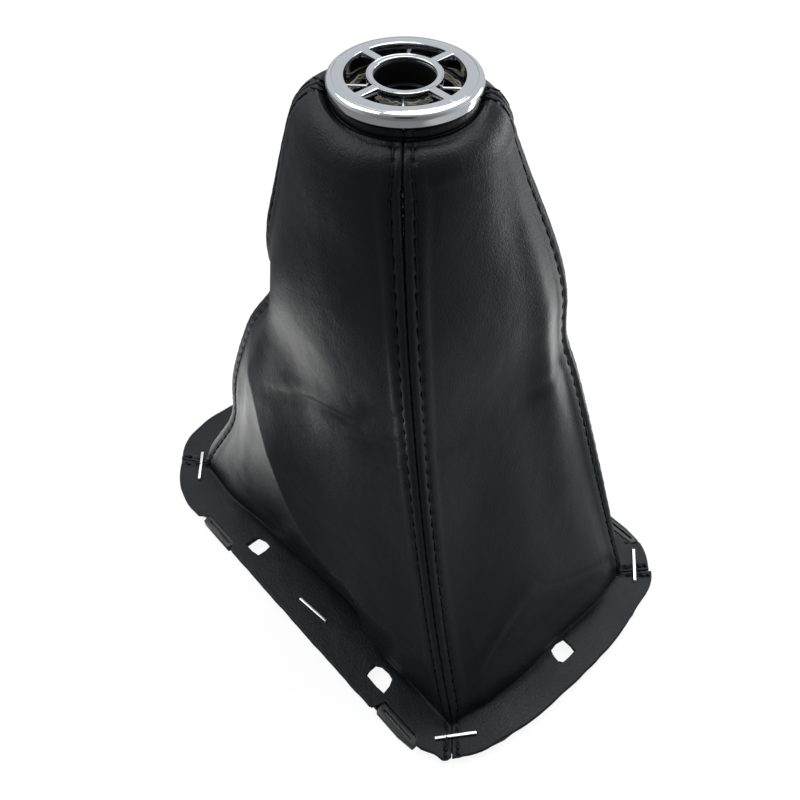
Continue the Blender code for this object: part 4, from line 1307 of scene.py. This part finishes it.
class GAITER_OT_thread(bpy.types.Operator):
    """Make the topstitching, the seams' own stitches and the knots"""

    bl_idname = "gaiter.thread"
    bl_label = "Thread"

    def execute(self, context):
        sizes = context.scene.gaiter_sizes
        crowns = [(centre, polar(turn, 1.0)) for centre, turn in staple_places()]
        shape = bmesh.new()
        for name in PANELS:
            points, normals = surface(name)
            for column in (STITCH_COLUMN, -1 - STITCH_COLUMN):
                line = points[:, column]
                length, _ = hole_places(line, sizes.stitch_pitch)
                start, end = length[STITCH_START], length[STITCH_END]

                def at(values, place):
                    return np.array([np.interp(place, length, values[:, k]) for k in range(3)])

                for k in range(int((end - start) / sizes.stitch_pitch)):
                    first = start + k * sizes.stitch_pitch
                    last = first + sizes.stitch_pitch
                    middle = (first + last) / 2
                    normal = at(normals[:, column], middle)
                    place = at(line, middle) + normal * sizes.thread_width * STITCH_LIFT
                    if (name, column) in OVER_STAPLES:
                        for centre, ahead in crowns:
                            away = (place - centre) * (1, 1, 0)
                            beside = abs(np.cross(away, ahead)[2])
                            if beside < CROWN_REACH and abs(away @ ahead) < CROWN_LENGTH / 2:
                                place[2] = STAPLE_TOP + sizes.thread_width * KNOT_LIFT
                    reach = sizes.stitch_pitch * STITCH_SHARE
                    add_stitch(shape, place, at(line, last) - at(line, first), reach, sizes.thread_width)
                knot = at(line, end) + at(normals[:, column], end) * sizes.thread_width * KNOT_LIFT
                for shift in (-0.4, 0.5):
                    ahead = at(line, end) - at(line, end - KNOT_BACK)
                    way = ahead + (0.0006, shift * 0.001, 0)
                    add_stitch(shape, knot + ahead * shift, way, KNOT_LENGTH, KNOT_WIDTH)
        for before, (_, seam) in PANELS.items():
            after = next(name for name, (start, _) in PANELS.items() if start == seam)
            left, normals = surface(before)
            right, _ = surface(after)
            middle = (left[:, -1] + right[:, 0]) / 2
            gone = 0.0
            for row in range(WALL_START + WALL_ROWS // 2, STITCH_END):
                gone += np.linalg.norm(middle[row] - middle[row - 1])
                if gone > SEAM_STITCH_PITCH:
                    gone = 0.0
                    place = middle[row] - normals[row, -1] * SEAM_STITCH_SINK
                    across = right[row, 0] - left[row, -1]
                    add_stitch(shape, place, across, SEAM_STITCH_LENGTH, SEAM_STITCH_WIDTH)
        mesh = finished("sewing_thread", shape, 60.0)
        add_piece("sewing_thread", mesh, ("thread",), "black_leather")
        return {"FINISHED"}


class GAITER_OT_hem(bpy.types.Operator):
    """Make the yarns at the leather's raw edge inside the neck"""

    bl_idname = "gaiter.hem"
    bl_label = "Hem Yarns"

    def execute(self, context):
        width = context.scene.gaiter_sizes.hem_strand
        shape = bmesh.new()
        turns = np.linspace(0, 2 * math.pi, HEM_STEPS + 1)[:-1]
        for k, (radius, depth) in enumerate(HEM_STRANDS):
            wave = HEM_SWAY * np.sin(turns * (23 + 4 * k) + 2.0 * k) + HEM_DRIFT * np.sin(turns * 7 + k)
            height = TOTAL_HEIGHT - depth + HEM_RISE * np.sin(turns * (17 + 3 * k) + k)
            path = polar(turns, radius + wave, height)
            add_tube(shape, path, width / 2, 7, closed=True)
        add_piece("hem_yarns", finished("hem_yarns", shape, 80.0), ("hem_yarn",), "black_leather")
        return {"FINISHED"}


class GAITER_OT_collar(bpy.types.Operator):
    """Make the plated collar"""

    bl_idname = "gaiter.collar"
    bl_label = "Collar"

    def execute(self, context):
        rim = context.scene.gaiter_sizes.window_rim
        top = TOTAL_HEIGHT
        low = top - COLLAR_HEIGHT
        under = top - FACE_THICKNESS
        rest = COLLAR_RADIUS - COLLAR_ROUNDING
        hub_hole = LEVER_BORE + SLEEVE_LEDGE + CLEARANCE
        shape = bmesh.new()

        # Face plate with its four windows.
        loops = []
        for radius in (rest, hub_hole + 0.0002):
            turns = np.linspace(0, 2 * math.pi, COLLAR_STEPS + 1)[:-1]
            loops.append([tuple(point) for point in polar(turns, radius, top)])
        for k in range(4):
            outline = []
            for radius, steps, way in ((HUB_RADIUS, 16, 1), (WINDOW_RADIUS, 24, -1)):
                edge = math.asin(SPOKE_WIDTH / 2 / radius)
                for angle in np.linspace(edge, math.pi / 2 - edge, steps)[::way]:
                    at_end = angle in (edge, math.pi / 2 - edge)
                    rounding = 0.0003 if at_end else 0.0
                    outline.append((radius * math.cos(angle), radius * math.sin(angle), rounding))
            turn = Matrix.Rotation(math.pi / 2 * k, 2)
            loops.append([(*(turn @ Vector(point)), top) for point in rounded(outline, 3)])
        extruded(shape, loops, (0, 0, -FACE_THICKNESS), rim, 2)

        # Outer ring, with a channel for the leather under it.
        channel = COLLAR_RADIUS - COLLAR_LOWER_ROUNDING - RING_WALL
        ring = rounded(
            (
                (rest, top, 0.0),
                (COLLAR_RADIUS, top, COLLAR_ROUNDING),
                (COLLAR_RADIUS, low, COLLAR_LOWER_ROUNDING),
                (channel, low, 0.0),
                (channel, under, 0.0),
                (rest - 0.0004, under, 0.0),
                (rest - 0.0004, top - 0.0002, 0.0),
                (rest, top - 0.0002, 0.0),
            ),
            12,
        )
        turned(shape, ring, COLLAR_STEPS)

        # Wall round the windows, and the hub with the lip of its bore.
        wall_low = top - INNER_WALL_HEIGHT
        wall_out = WINDOW_RADIUS + RING_WALL
        wall = (
            (WINDOW_RADIUS, under + 0.0001, 0.0),
            (wall_out, under + 0.0001, 0.0),
            (wall_out, wall_low, 0.00025),
            (WINDOW_RADIUS, wall_low, 0.00025),
        )
        turned(shape, rounded(wall), COLLAR_STEPS)
        hub_low = top - HUB_HEIGHT
        hub = (
            (LEVER_BORE, top, 0.0003),
            (hub_hole + 0.0002, top, 0.0),
            (hub_hole + 0.0002, under + 0.0001, 0.0),
            (HUB_RADIUS, under + 0.0001, 0.0),
            (HUB_RADIUS, hub_low, 0.0002),
            (hub_hole, hub_low, 0.0001),
            (hub_hole, top - BORE_LIP, 0.0),
            (LEVER_BORE, top - BORE_LIP, 0.0001),
        )
        turned(shape, rounded(hub), COLLAR_STEPS)

        # Ribs across the windows, low between hub and wall, with rounded tops.
        rib_top = top - RIB_DEPTH
        half = RIB_WIDTH / 2
        foot = ((-half, wall_low, 0.0), (half, wall_low, 0.0))
        section = rounded((*foot, (half, rib_top, 0.0003), (-half, rib_top, 0.0003)))
        for k in range(4):
            turn = Matrix.Rotation(math.pi / 2 * (k + 0.5), 3, "Z")
            loop = [turn @ Vector((HUB_RADIUS - 0.0002, y, z)) for y, z in section]
            reach = turn @ Vector((WINDOW_RADIUS - HUB_RADIUS + 0.0005, 0, 0))
            extruded(shape, [loop], reach, 0.00002, 1)
        collar = finished("plated_collar", shape, 35.0)
        add_piece("plated_collar", collar, ("chrome",), "chrome_plated_abs", "collar")
        return {"FINISHED"}


class GAITER_OT_sleeve(bpy.types.Operator):
    """Make the bore sleeve"""

    bl_idname = "gaiter.sleeve"
    bl_label = "Bore Sleeve"

    def execute(self, context):
        top = TOTAL_HEIGHT - BORE_LIP - CLEARANCE
        stop = TOTAL_HEIGHT - HUB_HEIGHT - CLEARANCE
        outer = LEVER_BORE + SLEEVE_LEDGE
        inner = LEVER_BORE - SLEEVE_LEDGE
        profile = (
            (LEVER_BORE, top, 0.00012),
            (outer, top, 0.00012),
            (outer, stop, 0.0),
            (HUB_RADIUS, stop, 0.00015),
            (HUB_RADIUS, stop - SLEEVE_LEDGE, 0.00015),
            (outer, stop - SLEEVE_LEDGE, 0.0),
            (outer, stop - SLEEVE_TAIL, 0.0003),
            (inner, stop - SLEEVE_TAIL, 0.0003),
            (inner, stop, 0.0003),
            (LEVER_BORE, stop, 0.0002),
        )
        shape = bmesh.new()
        turned(shape, rounded(profile, 4), SLEEVE_STEPS)
        add_piece("lever_sleeve", finished("lever_sleeve", shape), ("plastic",), "black_abs", "bore_sleeve")
        return {"FINISHED"}


class GAITER_OT_hoop(bpy.types.Operator):
    """Make the hoop that the leather is turned over"""

    bl_idname = "gaiter.hoop"
    bl_label = "Neck Hoop"

    def execute(self, context):
        low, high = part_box("neck_hoop")
        inner = HOOP_RADIUS - HOOP_WALL
        corners = ((inner, high.z), (high.x, high.z), (high.x, low.z), (inner, low.z))
        profile = [(*corner, 0.0002) for corner in corners]
        shape = bmesh.new()
        turned(shape, rounded(profile, 3), SLEEVE_STEPS)
        add_piece("hem_hoop", finished("hem_hoop", shape), ("plastic",), "black_abs", "neck_hoop")
        return {"FINISHED"}


class GAITER_OT_base(bpy.types.Operator):
    """Make the base frame with its lugs"""

    bl_idname = "gaiter.base"
    bl_label = "Base Frame"

    def execute(self, context):
        shape = bmesh.new()
        shape.from_mesh(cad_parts["base_frame"].data)
        bmesh.ops.remove_doubles(shape, verts=shape.verts, dist=0.000002)
        bmesh.ops.dissolve_limit(shape, angle_limit=math.radians(1), verts=shape.verts, edges=shape.edges)
        for _, (x, y), _ in CLIP_HOLES:
            for vert in shape.verts:
                across = vert.co.x - x
                along_side = vert.co.y - y
                if max(abs(across), abs(along_side)) < FRAME_HOLE_HALF:
                    vert.co.x = x + across * FRAME_HOLE_GROWTH
                    vert.co.y = y + along_side * FRAME_HOLE_GROWTH
        for vert in shape.verts:
            reach = LUG_REACH[vert.co.x > 0]
            vert.co.y = max(-reach, min(reach, vert.co.y))
            if abs(vert.co.y) > LUG_START:
                middle = LUG_SLOTS[vert.co.x < 0][0]
                vert.co.x = middle + (vert.co.x - middle) * LUG_KEEP
            for x, y, keep in LUG_SLOTS:
                middle = math.copysign(y, vert.co.y)
                if abs(vert.co.x - x) < SLOT_HALF_LENGTH and abs(vert.co.y - middle) < SLOT_HALF_WIDTH:
                    vert.co.y = middle + (vert.co.y - middle) * keep
        edges = [edge for edge in shape.edges if edge.calc_face_angle(0.0) > math.radians(40)]
        bmesh.ops.bevel(
            shape,
            geom=edges,
            offset=context.scene.gaiter_sizes.frame_rounding,
            offset_type="OFFSET",
            segments=2,
            profile=0.5,
            affect="EDGES",
            clamp_overlap=True,
            material=-1,
        )
        for face in shape.faces:
            middle = face.calc_center_median()
            face.material_index = int(middle.z > FRAME_TOP + 0.0001 and middle.x > 0)
        mesh = finished("gaiter_frame", shape)
        add_piece("gaiter_frame", mesh, ("plastic", "glazed"), "black_abs", "base_frame")
        return {"FINISHED"}


class GAITER_OT_staples(bpy.types.Operator):
    """Make the six staples"""

    bl_idname = "gaiter.staples"
    bl_label = "Staples"

    def execute(self, context):
        half = CROWN_LENGTH / 2
        inner = half - WIRE_THICKNESS
        seat = STAPLE_TOP - WIRE_THICKNESS
        outline = rounded(
            (
                (-half, CLEARANCE, 0.0),
                (-half, STAPLE_TOP, WIRE_BEND),
                (half, STAPLE_TOP, WIRE_BEND),
                (half, CLEARANCE, 0.0),
                (inner, CLEARANCE, 0.0),
                (inner, seat, 0.00015),
                (-inner, seat, 0.00015),
                (-inner, CLEARANCE, 0.0),
            )
        )
        for k, (centre, turn) in enumerate(staple_places()):
            shape = bmesh.new()
            loop = [(x, -WIRE_WIDTH / 2, z) for x, z in outline]
            extruded(shape, [loop], (0, WIRE_WIDTH, 0), WIRE_EDGE, 3, flat_sides=False)
            place = Matrix.Translation(Vector(centre)) @ Matrix.Rotation(turn, 4, "Z")
            bmesh.ops.transform(shape, matrix=place, verts=shape.verts)
            mesh = finished(f"wire_staple_{k + 1}", shape, 50.0)
            add_piece(f"wire_staple_{k + 1}", mesh, ("wire",), "galvanised_steel", f"staple_{k + 1}")
        return {"FINISHED"}


class GAITER_OT_stage(bpy.types.Operator):
    """Make the floor, the light and the camera"""

    bl_idname = "gaiter.stage"
    bl_label = "Stage"

    def execute(self, context):
        scene = context.scene
        camera_data = bpy.data.cameras.new("camera")
        camera_data.lens = CAMERA_LENS
        camera_data.sensor_width = CAMERA_SENSOR
        camera_data.clip_start = 0.01
        camera = bpy.data.objects.new("camera", camera_data)
        camera.location = CAMERA_PLACE
        camera.rotation_mode = "QUATERNION"
        camera.rotation_quaternion = Vector(CAMERA_AIM).to_track_quat("-Z", "Y")
        scene.collection.objects.link(camera)
        scene.camera = camera
        scene.view_settings.view_transform = "Standard"

        shape = bmesh.new()
        bmesh.ops.create_grid(shape, x_segments=1, y_segments=1, size=4.0)
        mesh = mesh_from("floor", shape)
        floor_material, tree, shader, place = new_material("matt_white_paint")
        paint = {"Base Color": (0.70, 0.70, 0.70, 1.0), "Roughness": 0.9, "Specular IOR Level": 0.0}
        set_inputs(tree, shader, paint)
        rays = add_node(tree, "ShaderNodeLightPath").outputs
        seen = reckoned(tree, "ADD", rays["Is Camera Ray"], rays["Is Glossy Ray"], True)
        through = reckoned(tree, "ADD", seen, rays["Is Transmission Ray"], True)
        share = reckoned(tree, "MULTIPLY", through, FLOOR_SHARE)
        # Painted reflections: glossy rays see a glow painted on the floor, as if white cards lay to the front
        # left and the rear left; elsewhere the floor glows dimly.
        glow = FLOOR_GLOW
        for way, start, end, gain in FLOOR_GLOW_PATCHES:
            level = ranged(tree, towards(tree, place, (*way, 0.0)), (start, end), (0.0, gain), True)
            glow = reckoned(tree, "ADD", level, glow)
        glow = reckoned(tree, "MAXIMUM", glow, FLOOR_GLOW)
        shown = mixed(tree, rays["Is Glossy Ray"], FLOOR_WHITE, glow)
        white = add_node(tree, "ShaderNodeEmission", None, {"Color": (1, 1, 1, 1), "Strength": shown})
        inputs = {0: share, 1: shader.outputs[0], 2: white.outputs[0]}
        blend = add_node(tree, "ShaderNodeMixShader", None, inputs)
        tree.links.new(blend.outputs[0], tree.nodes["Material Output"].inputs["Surface"])
        floor = new_object("floor", mesh, [floor_material])

        world = bpy.data.worlds.new("studio")
        scene.world = world
        world.use_nodes = True
        tree = world.node_tree
        direction = add_node(tree, "ShaderNodeTexCoord").outputs["Generated"]
        rays = add_node(tree, "ShaderNodeLightPath").outputs
        # The room is pale behind and above the object and dim on the camera's side.
        level = ranged(tree, towards(tree, direction, (0.64, -0.60, 0.30)), (-0.1, 0.9), (0.85, 0.22), True)
        # Whoever holds the camera shows as a small dark patch in the plated ring.
        beside = towards(tree, direction, tuple(-way for way in CAMERA_AIM))
        patch = ranged(tree, beside, (0.965, 0.985), (0.0, 1.0), True)
        colour = mixed(tree, patch, (0.94, 0.97, 1.0, 1.0), (0.16, 0.05, 0.04, 1.0))
        inputs = {
            "Color": mixed(tree, rays["Is Camera Ray"], colour, (1.0, 1.0, 1.0, 1.0)),
            "Strength": mixed(tree, rays["Is Camera Ray"], level, 1.0),
        }
        set_inputs(tree, tree.nodes["Background"], inputs)

        lamps = (
            ("overhead_softbox", (-0.16, 0.36, 0.88), 0.5, 3.4),
            ("key_softbox", (-0.45, -0.25, 0.85), 0.6, 3.0),
            ("right_softbox", (0.30, 0.95, 0.12), 0.5, 5.0),
        )
        for name, place, size, power in lamps:
            data = bpy.data.lights.new(name, "AREA")
            data.size = size
            data.energy = power
            lamp = bpy.data.objects.new(name, data)
            lamp.location = place
            lamp.rotation_mode = "QUATERNION"
            lamp.rotation_quaternion = (Vector((0, 0, 0.08)) - Vector(place)).to_track_quat("-Z", "Y")
            scene.collection.objects.link(lamp)
        return {"FINISHED"}


class GAITER_PT_parts(bpy.types.Panel):
    bl_label = "Gear Lever Gaiter"
    bl_idname = "GAITER_PT_parts"
    bl_space_type = "VIEW_3D"
    bl_region_type = "UI"
    bl_category = "Gaiter"

    def draw(self, context):
        for group in (context.scene.gaiter_sizes, context.scene.gaiter_colours):
            for key in group.__annotations__:
                self.layout.prop(group, key)
        for operator in OPERATORS:
            self.layout.operator(operator.bl_idname)


OPERATORS = (
    GAITER_OT_leather,
    GAITER_OT_thread,
    GAITER_OT_hem,
    GAITER_OT_collar,
    GAITER_OT_sleeve,
    GAITER_OT_hoop,
    GAITER_OT_base,
    GAITER_OT_staples,
    GAITER_OT_stage,
)
CLASSES = (GaiterSizes, GaiterColours, *OPERATORS, GAITER_PT_parts)


def register():
    for item in CLASSES:
        bpy.utils.register_class(item)
    bpy.types.Scene.gaiter_sizes = PointerProperty(type=GaiterSizes)
    bpy.types.Scene.gaiter_colours = PointerProperty(type=GaiterColours)


def unregister():
    del bpy.types.Scene.gaiter_colours
    del bpy.types.Scene.gaiter_sizes
    for item in reversed(CLASSES):
        bpy.utils.unregister_class(item)


def main():
    register()
    bpy.ops.gaiter.leather()
    bpy.ops.gaiter.thread()
    bpy.ops.gaiter.hem()
    bpy.ops.gaiter.collar()
    bpy.ops.gaiter.sleeve()
    bpy.ops.gaiter.hoop()
    bpy.ops.gaiter.base()
    bpy.ops.gaiter.staples()
    bpy.ops.gaiter.stage()


if __name__ == "__main__":
    main()
